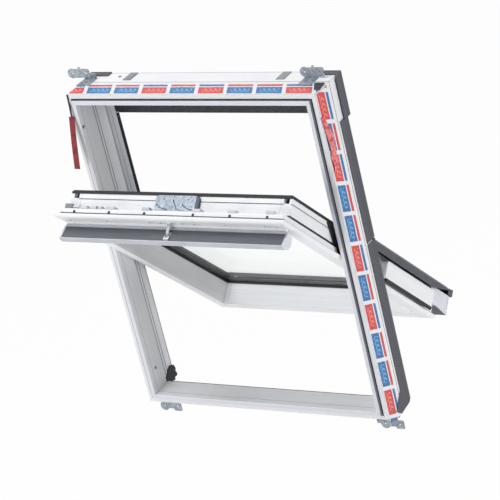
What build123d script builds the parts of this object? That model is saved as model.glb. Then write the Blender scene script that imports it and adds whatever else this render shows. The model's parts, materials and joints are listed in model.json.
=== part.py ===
from build123d import *
import os
from math import cos, radians, sin

# Centre-pivot roof window in its frame, millimetres. X runs to the right seen from the room, Y runs
# outward through the roof and Z up the slope. The origin is on the sill's underside at mid-width,
# in the plane of the closed sash's room side.
os.makedirs("parts", exist_ok=True)

# General clearances
gap = 0.3
touch = 0.1
past = 1
screw_sides = 12

# Frame, distances inward are from its outer edge
frame_width = 780
frame_height = 980
frame_wall = 29
front_y = -50
groove_in = 12
groove_width = 3
groove_depth = 6
lip_rise = 8
lip_round = 1.5
step_y = -39
step_in = 1
stop_y = 10
recess_wall = 15
recess_lines = ((32, 35), (43, 45.5))
recess_line_depth = 1.5
outer_line_y = 30
outer_line_width = 2
outer_line_depth = 1.5
jamb_back_y = 70
head_back_y = 91
sill_back_y = 18
sill_seal_thick = 3
sill_seal_height = 8
flange_web_in = 7
flange_past_wall = 14
flange_thick = 3
flange_line_from = 28
flange_line_to = 38
flange_line_depth = 1.5
corner_seal_thick = 2.5
corner_seal_wrap = 8
corner_seal_points = (
    (4, -19), (4, 1), (17, 7), (26, 20), (40, 27), (54, 22), (61, 18), (66, 5), (62, -3), (66, -10),
    (66, -19),
)

# Sash, distances inward are from its outer edge
head_clearance = 2
sill_clearance = 3
jamb_clearance = 2
bead_round = 9
bead_back = 11
bead_groove_depth = 4
bead_groove_width = 5.5
channel_in = 10
ledge_y = 28
ledge_run = 2
side_slot_depth = 11
side_slot_width = 8
stile_back_in = 14
rail_back_in = 46
sash_back_y = 85
stile_width = 38
top_rail_width = 74
bottom_rail_width = 53
glass_seat_y = 68
glass_seat = 16
line_y = 65
line_size = 2.5

# Turning
pivot_y = 125
pivot_above_middle = 6
open_angle = 45
flip_angle = 148
vent_angle = 12.5
hinge_track_radius = 80
hinge_track_width = 6
hinge_slot_clearance = 0.3
hinge_rail_from = 121
hinge_rail_to = 200
slot_from = 120
slot_to = 240
hinge_rail_thick = 11
rail_end_gap = 0.5
housing_height = 70
housing_front_y = 32
housing_round = 6
housing_screw_in = 6.5
housing_screw_rise = 25
hinge_screw_radius = 2.5
hinge_cover_thick = 6
hinge_cover_gap = 0.5
hinge_cover_low = 96
hinge_cover_front_high = 134
hinge_cover_back_high = 219
hinge_cover_front_y = 14
hinge_cover_back_y = 79

# Glass
pane_thick = 4
spacer_thick = 11
pane_clearance = 3
spacer_reach = 14
seal_thick = 1
seal_back_in = 10
seal_lip_in = 3
seal_lip_depth = 4

# Cladding
sheet = 1.5
cover_clearance = 0.5
cover_front = 40
cover_back = 84
cover_step = 5
cover_flange_past_wall = 24
head_flange_drop = 118
split_gap = 2
foot_cover_points = ((40, 40), (15, 18), (-2, -3), (21, -24), (74, -19), (84, -10))
lower_fold = 7
hood_drop = 123
hood_front_y = 60
hood_chamfer = 10
hood_reach = 65
hood_thick = 3
skirt_in = 9
skirt_low_y = 72
skirt_back_y = 92
crown_y = 101
crown_in = 9
crown_fall = 3
crown_to_in = 55
return_in = 68
skirt_taper = 110
skirt_below_sash = 16
drip_below_sash = 82
drip_front_y = 88
drip_back_y = 109
drip_lap = 20
drip_end_rise = 28
drip_top_fall = 6
trim_reach = 15
trim_depth = 2.3
seal_in = 2
sash_seal_width = 5
sash_seal_wrap = 1.5
sash_seal_front_y = 81
sash_seal_shoulder_y = 87.7

# Lower side blocks and the foot of the sash
block_in = 18
block_front_y = 21
block_top_drop = 104
block_low_rise = 58
block_corner = 2
block_round = 11
side_seal_in = 8
side_seal_lip = 4
foot_in = 32
foot_below_sash = 63
foot_front_y = 37
foot_toe_y = 30
foot_back_y = 85
foot_cap = 2.5
cap_recess = 1
cap_recess_edge = 6
foot_seal_drop = 4
foot_seal_width = 13

# Lock
lock_mid_x = 1
lock_width = 136
lock_front_y = 34
lock_back_y = 80
lock_height = 8
lock_corner = 10
lock_slot = 3
lock_slot_depth = 3
lock_left_slot = ((-63, 21), (-50, 11.5), (-29, 7))
lock_right_slot = ((17.5, 22), (30, 12), (49.5, 7.5))
lock_holes = ((-41, 35.5), (32.5, 35.7))
lock_middle_slot = (-5.5, 20)
lock_middle_slot_length = 34
lock_middle_slot_angle = -61
link_x = -7
link_width = 9
link_thick = 3
link_drop = 33
link_tip_y = -28
link_tail_y = 20
keeper_width = 80
keeper_thick = 4
keeper_front_y = 40
keeper_depth = 32
keeper_round = 4
keeper_slot_length = 40
keeper_slot_width = 10
rail_screw_inner = 76
rail_screw_end_in = 58
rail_screw_y = 19.5
rail_screw_head = 3.8
rail_screw_shank = 1.8
rail_screw_rise = 1.2
rail_screw_length = 14
clip_spans = (
    (-282, -261), (-249, -232), (-225, -214), (-200, -173), (-85, -62), (72, 97), (180, 205),
    (295, 320),
)
clip_rise = 1.5
clip_thick = 8
clip_head = 10.5
clip_foot = 1
bolt_in = 7
bolt_length = 44
bolt_radius = 5
bolt_fit = 0.1
bolt_travel = 16
bolt_stand_off = 10
bolt_rise = 8
bolt_knob_rise = 1.5
bolt_knob_length = 3
bolt_guide_wall = 2.5
bolt_guide_in = 2
bolt_guide_play = 4
bolt_hole_depth = 9

# Ventilation flap and control bar, s runs along the flap from its hinge and n away from its back
flap_hinge_y = -8
flap_hinge_drop = 49
flap_rise_angle = 21.8
flap_end_in = 13
flap_length = 44
flap_thick = 2
flap_bead = 2.6
flap_strip_half_height = 6
flap_strip_end_in = 4
filter_from = 7
filter_to = 42
filter_thick = 1.2
filter_end_in = 3
filter_notch_from = 14
bar_start = 3.6
bar_heel = 7.8
bar_grip = ((35.2, 26.4), (17.6, 31), (4.4, 23.2))
bar_lip = 2.4
bar_cap = 3.5
hook_half = 8
hook_prong = 3.2
hook_from = 26
hook_to = 41
hook_bridge = 5
hook_slope = 4
hook_height = 5
vent_mid = 186
vent_end_in = 54
vent_length = 44
vent_small_length = 22
vent_small_pitch = 35
vent_small_mid = 10
vent_height = 9
vent_drop = 31

# Fitting brackets, the middles of their holes and feet are measured from the frame's sides
top_left_hole_out = 18
top_left_foot_in = 18
top_right_hole_in = 57
top_right_foot_in = 62
bottom_left_hole_in = 63
bottom_left_foot_in = 60
bottom_right_hole_out = 6
bottom_right_foot_in = 22
steel = 2
hole_pitch = 44
hole_radius = 2.75
lobe_radius = 14.5
lobe_stand_off = 2.5
square_lobe_half = 13.5
square_lobe_round = 5
upper_waist = 26
lower_waist = 14
pip_radius = 4
pip_shift = 4
pip_rise = 15
foot_width = 40
foot_length = 48
bracket_top_y = 55
bracket_bottom_y = -44
fixing_radius = 2.5
fixing_head = 4.5
fixing_rise = 2.2
fixing_spread = 9
fixing_from_plate = 24

# Delivery pieces
tape_thick = 0.3
tape_front = 15
tape_width = 48
tape_end_gap = 3
tag_width = 16
tag_length = 152
tag_thick = 0.6
tag_lean = 15
tag_lap = 8
strap_width = 6
strap_length = 60
strap_drop = 2
strap_in = 1
head_clip_places = (-249, 236)
head_clip_width = 24
head_clip_from_y = 44
head_screw_place = (-284, 67)
head_screw_radius = 4.5

half_frame = frame_width / 2
half_clear = half_frame - frame_wall
half_recess = half_frame - recess_wall
lip_y = front_y - lip_rise
whole_depth = head_back_y - lip_y
half_sash = half_clear - jamb_clearance
sash_low = frame_wall + sill_clearance
sash_high = frame_height - frame_wall - head_clearance
rail_top_z = sash_high - rail_back_in
channel_z = sash_high - channel_in
pivot_z = frame_height / 2 + pivot_above_middle
upper_low_z = pivot_z + split_gap
lower_high_z = pivot_z - split_gap
glass_y = glass_seat_y + seal_thick
outer_pane_y = glass_y + pane_thick + spacer_thick
glass_back_y = outer_pane_y + pane_thick
stile_side = half_sash - stile_back_in
half_glass_seat = half_sash - stile_width + glass_seat
pane_half = half_glass_seat - pane_clearance
pane_low = sash_low + bottom_rail_width - glass_seat + pane_clearance
pane_high = sash_high - top_rail_width + glass_seat - pane_clearance
housing_face_x = stile_side + hinge_cover_thick + hinge_cover_gap
flange_x = half_clear - flange_past_wall
cover_flange_x = half_clear - cover_flange_past_wall
head_flange_low = frame_height - head_flange_drop
hood_low = frame_height - hood_drop
skirt_x = half_frame - skirt_in
crown_to = half_frame - crown_to_in
return_x = half_frame - return_in
skirt_bottom_z = sash_low - skirt_below_sash
drip_z = sash_low - drip_below_sash
block_x = half_frame - block_in
block_low_z = sash_low + block_low_rise
block_top_z = pivot_z - block_top_drop
foot_x = half_frame - foot_in
foot_low_z = sash_low - foot_below_sash
foot_top_z = sash_low + channel_in
flap_hinge_z = sash_high - flap_hinge_drop
flap_half = half_sash - flap_end_in
link_z = sash_high - link_drop
vent_z = sash_high - vent_drop
hole_rise = lobe_radius + lobe_stand_off
bolt_x = bolt_in - half_sash
bolt_far_x = bolt_x + bolt_length
bolt_y = ledge_y + ledge_run + bolt_stand_off
bolt_z = rail_top_z + bolt_rise

opening = Pos(0, pivot_y, pivot_z) * Rot(X=open_angle) * Pos(0, -pivot_y, -pivot_z)


def on_frame(plane):
    """Planes of the frame stand as they are."""
    return plane


def on_sash(plane):
    """Turns a plane of the closed sash about the pivot to the open rest."""
    return Plane(opening * plane.location)


def turned(y, z, angle):
    """Point of the closed sash's side view after the sash has turned by an angle."""
    out, up = y - pivot_y, z - pivot_z
    level, steep = cos(radians(angle)), sin(radians(angle))
    return pivot_y + out * level - up * steep, pivot_z + out * steep + up * level


def face_of(*points):
    """Closed outline of straight runs, made a face of the sketch that is open."""
    with BuildLine() as outline:
        Polyline(*points, close=True)
    make_face(outline.edges())


def section_plane(side, half, low, high):
    """Section plane of a member: x runs inward from its outer edge and y outward through the roof."""
    middle = (low + high) / 2
    origin, inward, along = {
        "head": ((0, 0, high), (0, 0, -1), (1, 0, 0)),
        "sill": ((0, 0, low), (0, 0, 1), (-1, 0, 0)),
        "left": ((-half, 0, middle), (1, 0, 0), (0, 0, 1)),
        "right": ((half, 0, middle), (-1, 0, 0), (0, 0, -1)),
    }[side]
    return Plane(origin=origin, x_dir=inward, z_dir=along)


def mitre_outline(side, half, low, high, seam, depth):
    """Outline of a member seen from the room, cut at 45 degrees where it meets its neighbours."""
    if side in ("head", "sill"):
        edge, way = (high, -1) if side == "head" else (low, 1)
        inner = half - seam
        deep_z = edge + way * depth
        deeper = ((inner, deep_z), (-inner, deep_z)) if depth > seam else ()
        corners = ((-half, edge), (half, edge), (inner, edge + way * seam))
        return corners + deeper + ((-inner, edge + way * seam),)
    edge = -half if side == "left" else half
    inner = seam - half if side == "left" else half - seam
    return ((edge, low), (edge, high), (inner, high - seam), (inner, low + seam))


def lay_member(side, half, low, high, seam, depth, draw, place):
    """Extrudes a section along one side of a rectangle and mitres its ends."""
    with BuildSketch(place(section_plane(side, half, low, high))) as section:
        draw()
    run = half if side in ("head", "sill") else (high - low) / 2
    extrude(section.sketch, amount=run, both=True)
    with BuildSketch(place(Plane.XZ)) as mitred:
        face_of(*mitre_outline(side, half, low, high, seam, depth))
    extrude(mitred.sketch, amount=whole_depth, both=True, mode=Mode.INTERSECT)


def ring(outer_half, outer_low, outer_high, width, from_y, to_y):
    """Rectangular ring of the sash between two depths."""
    with BuildSketch(on_sash(Plane.XZ.offset(-from_y))) as band:
        middle = (outer_low + outer_high) / 2
        with Locations((0, middle)):
            Rectangle(2 * outer_half, outer_high - outer_low)
            Rectangle(
                2 * (outer_half - width), outer_high - outer_low - 2 * width, mode=Mode.SUBTRACT
            )
    extrude(band.sketch, amount=from_y - to_y)


def slab(place, x0, x1, y0, y1, z0, z1, mode=Mode.ADD):
    """Straight block between two corners, drawn in plan and raised."""
    with BuildSketch(place(Plane.XY.offset(z0))) as plan:
        with Locations(((x0 + x1) / 2, (y0 + y1) / 2)):
            Rectangle(abs(x1 - x0), y1 - y0)
    extrude(plan.sketch, amount=z1 - z0, mode=mode)


def lip_and_groove():
    """Room-side points of the frame section, from the outer edge to the step in its inner face."""
    return (
        (0, front_y),
        (groove_in, front_y),
        (groove_in, front_y + groove_depth),
        (groove_in + groove_width, front_y + groove_depth),
        (groove_in + groove_width, lip_y),
        (frame_wall - step_in, lip_y),
        (frame_wall - step_in, step_y),
        (frame_wall, step_y),
    )


def outer_line():
    """Fine groove along the outer face, from its rear edge to its front edge."""
    return (
        (0, outer_line_y + outer_line_width),
        (outer_line_depth, outer_line_y + outer_line_width),
        (outer_line_depth, outer_line_y),
        (0, outer_line_y),
    )


def recess_points():
    """Fine grooves in the wall of the jamb's recess, from front to back."""
    deep = recess_wall - recess_line_depth
    points = []
    for low, high in recess_lines:
        points += [(recess_wall, low), (deep, low), (deep, high), (recess_wall, high)]
    return points


def round_lip():
    """Rounds the two corners of the lip, which are the lowest of the section."""
    fillet(vertices().group_by(Axis.Y)[0], radius=lip_round)


def head_section():
    """Deep head, open to the rear cover."""
    face_of(*lip_and_groove(), (frame_wall, head_back_y), (0, head_back_y), *outer_line())
    round_lip()


def sill_section():
    """Shallow sill, which the sash's foot laps over."""
    face_of(*lip_and_groove(), (frame_wall, sill_back_y), (0, sill_back_y))
    round_lip()


def jamb_section():
    """Jamb with the stop for the sash's side gaskets and the recess behind it."""
    face_of(
        *lip_and_groove(),
        (frame_wall, stop_y),
        (recess_wall, stop_y),
        *recess_points(),
        (recess_wall, jamb_back_y),
        (0, jamb_back_y),
        *outer_line(),
    )
    round_lip()


def jamb_flange(sign):
    """Web and flange behind the upper half of a jamb, where the sash's gasket seals."""
    front = head_back_y - flange_thick
    outline = (
        (half_frame - flange_web_in, jamb_back_y),
        (half_frame - flange_web_in, head_back_y),
        (flange_x, head_back_y),
        (flange_x, front),
        (half_frame - flange_line_to, front),
        (half_frame - flange_line_to, front + flange_line_depth),
        (half_frame - flange_line_from, front + flange_line_depth),
        (half_frame - flange_line_from, front),
        (half_recess, front),
        (half_recess, jamb_back_y),
    )
    with BuildSketch(Plane.XY.offset(upper_low_z)) as profile:
        face_of(*[(sign * x, y) for x, y in outline])
    extrude(profile.sketch, amount=frame_height - frame_wall - upper_low_z)


def sash_section(width, back_in, slotted):
    """Sash profile: rounded bead, groove, channel face, ledge, back part and seat of the glass."""
    if slotted:
        ledge = (
            (channel_in, ledge_y),
            (channel_in + side_slot_depth, ledge_y),
            (channel_in + side_slot_depth, ledge_y + side_slot_width),
            (back_in, ledge_y + side_slot_width),
        )
    else:
        ledge = ((channel_in, ledge_y), (back_in, ledge_y + ledge_run))
    with BuildLine() as outline:
        CenterArc((bead_round, bead_round), bead_round, 180, 90)
        Polyline(
            (0, bead_round),
            (0, bead_back),
            (channel_in + bead_groove_depth, bead_back),
            (channel_in + bead_groove_depth, bead_back + bead_groove_width),
            (channel_in, bead_back + bead_groove_width),
            *ledge,
            (back_in, line_y),
            (back_in + line_size, line_y),
            (back_in + line_size, line_y + line_size),
            (back_in, line_y + line_size),
            (back_in, sash_back_y),
            (width - glass_seat, sash_back_y),
            (width - glass_seat, glass_seat_y),
            (width, glass_seat_y),
            (width, 0),
            (bead_round, 0),
        )
    make_face(outline.edges())


def track(inner, outer, first, last):
    """Part of a ring about the pivot between two angles."""
    with BuildLine() as outline:
        centre = (pivot_y, pivot_z)
        arc_out = CenterArc(centre, outer, first, last - first)
        arc_in = CenterArc(centre, inner, first, last - first)
        Line(arc_out @ 0, arc_in @ 0)
        Line(arc_out @ 1, arc_in @ 1)
    make_face(outline.edges())


# Frame members
frame_box = (half_frame, 0, frame_height)

with BuildPart() as frame_head:
    lay_member("head", *frame_box, frame_wall, frame_wall, head_section, on_frame)
frame_head.part.label = "frame_head"
export_step(frame_head.part, "parts/frame_head.step")

with BuildPart() as frame_sill:
    lay_member("sill", *frame_box, frame_wall, frame_wall, sill_section, on_frame)
frame_sill.part.label = "frame_sill"
export_step(frame_sill.part, "parts/frame_sill.step")

with BuildPart() as jamb_left:
    lay_member("left", *frame_box, frame_wall, frame_wall, jamb_section, on_frame)
    jamb_flange(-1)
    with BuildSketch(Plane.YZ.offset(-half_clear)):
        with Locations(turned(bolt_y, bolt_z, vent_angle), turned(bolt_y, bolt_z, flip_angle)):
            Circle(bolt_radius + gap)
    extrude(amount=-bolt_hole_depth, mode=Mode.SUBTRACT)
jamb_left.part.label = "frame_jamb_left"
export_step(jamb_left.part, "parts/frame_jamb_left.step")

with BuildPart() as jamb_right:
    lay_member("right", *frame_box, frame_wall, frame_wall, jamb_section, on_frame)
    jamb_flange(1)
jamb_right.part.label = "frame_jamb_right"
export_step(jamb_right.part, "parts/frame_jamb_right.step")

# Rubber strip along the sill's rear edge
with BuildPart() as sill_seal:
    slab(
        on_frame,
        -half_clear,
        half_clear,
        sill_back_y,
        sill_back_y + sill_seal_thick,
        frame_wall - sill_seal_height,
        frame_wall,
    )
sill_seal.part.label = "sill_seal"
export_step(sill_seal.part, "parts/sill_seal.step")

# Black rubber corner seals, which fill the sill's corners and lap round the jambs' rear edges
with BuildPart() as corner_seals:
    inner_x = half_recess - corner_seal_thick
    outer_x = half_recess + corner_seal_wrap
    for sign in (-1, 1):
        with BuildSketch(Plane.YZ.offset(sign * inner_x)):
            face_of(*[(sill_back_y + y, frame_wall + z) for y, z in corner_seal_points])
        extrude(amount=sign * (outer_x - inner_x))
        slab(
            on_frame,
            sign * half_recess,
            sign * (outer_x + past),
            sill_back_y,
            jamb_back_y + gap,
            0,
            2 * frame_wall,
            mode=Mode.SUBTRACT,
        )
corner_seals.part.label = "corner_seals"
export_step(corner_seals.part, "parts/corner_seals.step")


# Folded covers on the outside of the frame
leg_x = half_frame + cover_clearance

with BuildPart() as head_cover:
    with BuildSketch(Plane.XZ.offset(-head_back_y)):
        with Locations((0, (frame_height + head_flange_low) / 2)):
            Rectangle(2 * (half_frame - cover_step), frame_height - head_flange_low)
    extrude(amount=-sheet)
    slab(
        on_frame,
        -cover_flange_x,
        cover_flange_x,
        head_back_y,
        head_back_y + 2 * sheet,
        head_flange_low - sheet,
        head_flange_low,
    )
head_cover.part.label = "head_cover"
export_step(head_cover.part, "parts/head_cover.step")

for side, sign in (("left", -1), ("right", 1)):
    with BuildPart() as upper_cover:
        cover_top_z = head_flange_low - sheet - touch
        with BuildSketch(Plane.XY.offset(upper_low_z)):
            face_of(
                (sign * leg_x, cover_front),
                (sign * (leg_x + sheet), cover_front),
                (sign * (leg_x + sheet), cover_back),
                (sign * (half_frame - cover_step + sheet), cover_back),
                (sign * (half_frame - cover_step + sheet), head_back_y + sheet),
                (sign * cover_flange_x, head_back_y + sheet),
                (sign * cover_flange_x, head_back_y),
                (sign * (half_frame - cover_step), head_back_y),
                (sign * (half_frame - cover_step), cover_back - sheet),
                (sign * leg_x, cover_back - sheet),
            )
        extrude(amount=cover_top_z - upper_low_z)
        with BuildSketch(Plane.YZ.offset(sign * leg_x)):
            face_of(
                (hood_front_y, cover_top_z - past),
                (cover_back, cover_top_z - past),
                (cover_back, frame_height - gap),
                (hood_front_y + hood_chamfer, frame_height - gap),
                (hood_front_y, frame_height - gap - hood_chamfer),
            )
        extrude(amount=sign * sheet)
    upper_cover.part.label = "upper_cover_" + side
    export_step(upper_cover.part, "parts/upper_cover_" + side + ".step")

    with BuildPart() as lower_cover:
        with BuildSketch(Plane.YZ.offset(sign * leg_x)):
            face_of((cover_front, lower_high_z), *foot_cover_points, (cover_back, lower_high_z))
        extrude(amount=sign * sheet)
        slab(
            on_frame,
            sign * leg_x,
            sign * (leg_x - lower_fold),
            cover_back - sheet,
            cover_back,
            foot_cover_points[-1][1] + split_gap,
            lower_high_z,
        )
    lower_cover.part.label = "lower_cover_" + side
    export_step(lower_cover.part, "parts/lower_cover_" + side + ".step")

with BuildPart() as corner_hoods:
    hood_x = leg_x + sheet + touch
    hood_top = frame_height + 2 * sheet
    hood_back_y = head_back_y + 2 * sheet
    hood_inner_x = half_frame - hood_reach
    for sign in (-1, 1):
        with BuildSketch(Plane.YZ.offset(sign * hood_x)):
            face_of(
                (hood_front_y, hood_low),
                (hood_back_y, hood_low),
                (hood_back_y, hood_top),
                (hood_front_y + hood_chamfer, hood_top),
                (hood_front_y, hood_top - hood_chamfer),
            )
        extrude(amount=sign * hood_thick)
        slab(
            on_frame,
            sign * hood_x,
            sign * hood_inner_x,
            hood_front_y + hood_chamfer,
            hood_back_y,
            hood_top - sheet,
            hood_top,
        )
corner_hoods.part.label = "corner_hoods"
export_step(corner_hoods.part, "parts/corner_hoods.step")

# Hinge housings on the jambs, each with the arc slot that guides the sash's rail
slot_low = hinge_track_radius - hinge_track_width / 2 - hinge_slot_clearance
slot_high = hinge_track_radius + hinge_track_width / 2 + hinge_slot_clearance
housing_depth = half_recess - housing_face_x
rail_bed = stile_side + hinge_rail_thick + rail_end_gap - housing_face_x
screw_spots = (
    (housing_front_y + housing_screw_in, pivot_z),
    (jamb_back_y - housing_screw_in, pivot_z + housing_screw_rise),
    (jamb_back_y - housing_screw_in, pivot_z - housing_screw_rise),
)

for side, sign in (("left", -1), ("right", 1)):
    with BuildPart() as housing:
        with BuildSketch(Plane.YZ.offset(sign * half_recess)):
            with Locations(((housing_front_y + jamb_back_y) / 2, pivot_z)):
                RectangleRounded(jamb_back_y - housing_front_y, housing_height, housing_round)
        extrude(amount=-sign * housing_depth)
        with BuildSketch(Plane.YZ.offset(sign * housing_face_x)):
            track(slot_low, slot_high, slot_from, slot_to)
        extrude(amount=sign * rail_bed, mode=Mode.SUBTRACT)
        with BuildSketch(Plane.YZ.offset(sign * housing_face_x)):
            with Locations(*screw_spots):
                RegularPolygon(hinge_screw_radius + touch, screw_sides)
        extrude(amount=sign * housing_depth, mode=Mode.SUBTRACT)
    housing.part.label = "hinge_housing_" + side
    export_step(housing.part, "parts/hinge_housing_" + side + ".step")

with BuildPart() as hinge_screws:
    for sign in (-1, 1):
        with BuildSketch(Plane.YZ.offset(sign * housing_face_x)):
            with Locations(*screw_spots):
                RegularPolygon(hinge_screw_radius, screw_sides)
        extrude(amount=sign * (housing_depth - touch))
hinge_screws.part.label = "hinge_screws"
export_step(hinge_screws.part, "parts/hinge_screws.step")

with BuildPart() as hinge_rails:
    for sign in (-1, 1):
        with BuildSketch(on_sash(Plane.YZ.offset(sign * stile_side))):
            track(
                hinge_track_radius - hinge_track_width / 2,
                hinge_track_radius + hinge_track_width / 2,
                hinge_rail_from,
                hinge_rail_to,
            )
        extrude(amount=sign * hinge_rail_thick)
hinge_rails.part.label = "hinge_rails"
export_step(hinge_rails.part, "parts/hinge_rails.step")

with BuildPart() as hinge_covers:
    slot_back_y = ledge_y + side_slot_width
    channel_x = half_sash - channel_in
    cover_rise = hinge_cover_back_high - hinge_cover_front_high
    cover_share = (slot_back_y - hinge_cover_front_y) / (hinge_cover_back_y - hinge_cover_front_y)
    slot_high_z = pivot_z + hinge_cover_front_high + cover_rise * cover_share
    for sign in (-1, 1):
        with BuildSketch(on_sash(Plane.YZ.offset(sign * (channel_x + gap)))):
            face_of(
                (hinge_cover_front_y, pivot_z + hinge_cover_low),
                (hinge_cover_front_y, pivot_z + hinge_cover_front_high),
                (hinge_cover_back_y, pivot_z + hinge_cover_back_high),
                (hinge_cover_back_y, pivot_z + hinge_cover_low),
            )
        extrude(amount=sign * (hinge_cover_thick - channel_x - gap + stile_side))
        with BuildSketch(on_sash(Plane.YZ.offset(sign * stile_side))):
            face_of(
                (slot_back_y + gap, pivot_z + hinge_cover_low),
                (slot_back_y + gap, slot_high_z),
                (hinge_cover_back_y, pivot_z + hinge_cover_back_high),
                (hinge_cover_back_y, pivot_z + hinge_cover_low),
            )
        extrude(amount=sign * (channel_x + gap - stile_side))
hinge_covers.part.label = "hinge_covers"
export_step(hinge_covers.part, "parts/hinge_covers.step")


# Fitting brackets and their screws
def bracket_places():
    """Name, middles of the holes and the foot, face and way out, plate and foot's way, waist."""
    return (
        (
            "top_left", -half_frame - top_left_hole_out, top_left_foot_in - half_frame,
            frame_height, 1, bracket_top_y, -1, upper_waist,
        ),
        (
            "top_right", half_frame - top_right_hole_in, half_frame - top_right_foot_in,
            frame_height, 1, bracket_top_y, -1, upper_waist,
        ),
        (
            "bottom_left", bottom_left_hole_in - half_frame, bottom_left_foot_in - half_frame,
            0, -1, bracket_bottom_y, 1, lower_waist,
        ),
        (
            "bottom_right", half_frame + bottom_right_hole_out, half_frame - bottom_right_foot_in,
            0, -1, bracket_bottom_y, 1, lower_waist,
        ),
    )


def fixing_points(foot_mid, plate_y, way):
    """Two screws through a foot."""
    middle_y = plate_y + way * fixing_from_plate
    return ((foot_mid - fixing_spread, middle_y), (foot_mid + fixing_spread, middle_y))


for name, hole_mid, foot_mid, face_z, out, plate_y, way, waist in bracket_places():
    hole_z = face_z + out * hole_rise
    left_hole = (hole_mid - hole_pitch / 2, hole_z)
    right_hole = (hole_mid + hole_pitch / 2, hole_z)
    with BuildPart() as bracket:
        with BuildSketch(Plane.XZ.offset(-plate_y)):
            with Locations(left_hole):
                Circle(lobe_radius)
            with Locations(right_hole):
                RectangleRounded(2 * square_lobe_half, 2 * square_lobe_half, square_lobe_round)
            with Locations((hole_mid, hole_z)):
                Rectangle(hole_pitch, waist)
            with Locations((foot_mid, face_z + out * hole_rise / 2)):
                Rectangle(foot_width, hole_rise)
            if waist == upper_waist:
                with Locations((hole_mid + pip_shift, hole_z + pip_rise)):
                    Circle(pip_radius)
            with Locations(left_hole, right_hole):
                Circle(hole_radius, mode=Mode.SUBTRACT)
        extrude(amount=-way * steel)
        with BuildSketch(Plane.XY.offset(face_z)):
            with Locations((foot_mid, plate_y + way * foot_length / 2)):
                Rectangle(foot_width, foot_length)
            with Locations(*fixing_points(foot_mid, plate_y, way)):
                RegularPolygon(fixing_radius + touch, screw_sides, mode=Mode.SUBTRACT)
        extrude(amount=out * steel)
    bracket.part.label = "bracket_" + name
    export_step(bracket.part, "parts/bracket_" + name + ".step")

with BuildPart() as bracket_screws:
    for name, hole_mid, foot_mid, face_z, out, plate_y, way, waist in bracket_places():
        with BuildSketch(Plane.XY.offset(face_z + out * steel)):
            with Locations(*fixing_points(foot_mid, plate_y, way)):
                RegularPolygon(fixing_head, screw_sides)
        extrude(amount=out * fixing_rise)
bracket_screws.part.label = "bracket_screws"
export_step(bracket_screws.part, "parts/bracket_screws.step")

# Printed tape on the outer faces of the head and jambs
with BuildPart() as tape_head:
    with BuildSketch(Plane.XY.offset(frame_height)):
        with Locations((0, front_y + tape_front + tape_width / 2)):
            Rectangle(frame_width - 2 * tape_end_gap, tape_width)
    extrude(amount=tape_thick)
    for name, hole_mid, foot_mid, face_z, out, plate_y, way, waist in bracket_places()[:2]:
        slab(
            on_frame,
            foot_mid - foot_width / 2 - gap,
            foot_mid + foot_width / 2 + gap,
            plate_y - foot_length - gap,
            plate_y,
            frame_height - past,
            frame_height + past,
            mode=Mode.SUBTRACT,
        )
tape_head.part.label = "tape_head"
export_step(tape_head.part, "parts/tape_head.step")

for side, sign in (("left", -1), ("right", 1)):
    with BuildPart() as tape:
        with BuildSketch(Plane.YZ.offset(sign * half_frame)):
            with Locations((front_y + tape_front + tape_width / 2, frame_height / 2)):
                Rectangle(tape_width, frame_height - 2 * tape_end_gap)
        extrude(amount=sign * tape_thick)
    tape.part.label = "tape_" + side
    export_step(tape.part, "parts/tape_" + side + ".step")

# Small pieces on the head
with BuildPart() as head_clips:
    for x in head_clip_places:
        slab(
            on_frame,
            x - head_clip_width / 2,
            x + head_clip_width / 2,
            head_clip_from_y,
            head_back_y,
            frame_height,
            frame_height + steel,
        )
    with BuildSketch(Plane.XY.offset(frame_height)):
        with Locations(head_screw_place):
            RegularPolygon(head_screw_radius, screw_sides)
    extrude(amount=steel)
head_clips.part.label = "head_clips"
export_step(head_clips.part, "parts/head_clips.step")

# Strap over the frame's corner and the bare tag that hangs on it
strap_x = -half_frame - tape_thick
strap_low_z = frame_height - strap_drop - strap_length
with BuildPart() as tag_strap:
    slab(
        on_frame,
        strap_x - tag_thick,
        strap_x,
        front_y + strap_in,
        front_y + strap_in + strap_width,
        strap_low_z,
        frame_height - strap_drop,
    )
tag_strap.part.label = "tag_strap"
export_step(tag_strap.part, "parts/tag_strap.step")

with BuildPart() as tag:
    with BuildSketch(Plane.YZ.offset(strap_x - tag_thick)):
        level, steep = cos(radians(tag_lean)), sin(radians(tag_lean))
        high_z = strap_low_z + tag_lap
        low_y = front_y - steep * tag_length
        low_z = high_z - level * tag_length
        face_of(
            (front_y, high_z),
            (front_y + tag_width * level, high_z - tag_width * steep),
            (low_y + tag_width * level, low_z - tag_width * steep),
            (low_y, low_z),
        )
    extrude(amount=-tag_thick)
tag.part.label = "tag"
export_step(tag.part, "parts/tag.step")

# Lock keeper under the head
with BuildPart() as lock_keeper:
    keeper_z = frame_height - frame_wall
    slab(
        on_frame,
        lock_mid_x - keeper_width / 2,
        lock_mid_x + keeper_width / 2,
        keeper_front_y,
        keeper_front_y + keeper_depth,
        keeper_z - keeper_thick,
        keeper_z,
    )
    fillet(lock_keeper.edges().filter_by(Axis.Z), radius=keeper_round)
    with BuildSketch(Plane.XY.offset(keeper_z - keeper_thick)):
        with Locations((lock_mid_x, keeper_front_y + keeper_depth / 2)):
            SlotOverall(keeper_slot_length, keeper_slot_width)
    extrude(amount=keeper_thick, mode=Mode.SUBTRACT)
lock_keeper.part.label = "lock_keeper"
export_step(lock_keeper.part, "parts/lock_keeper.step")

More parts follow.
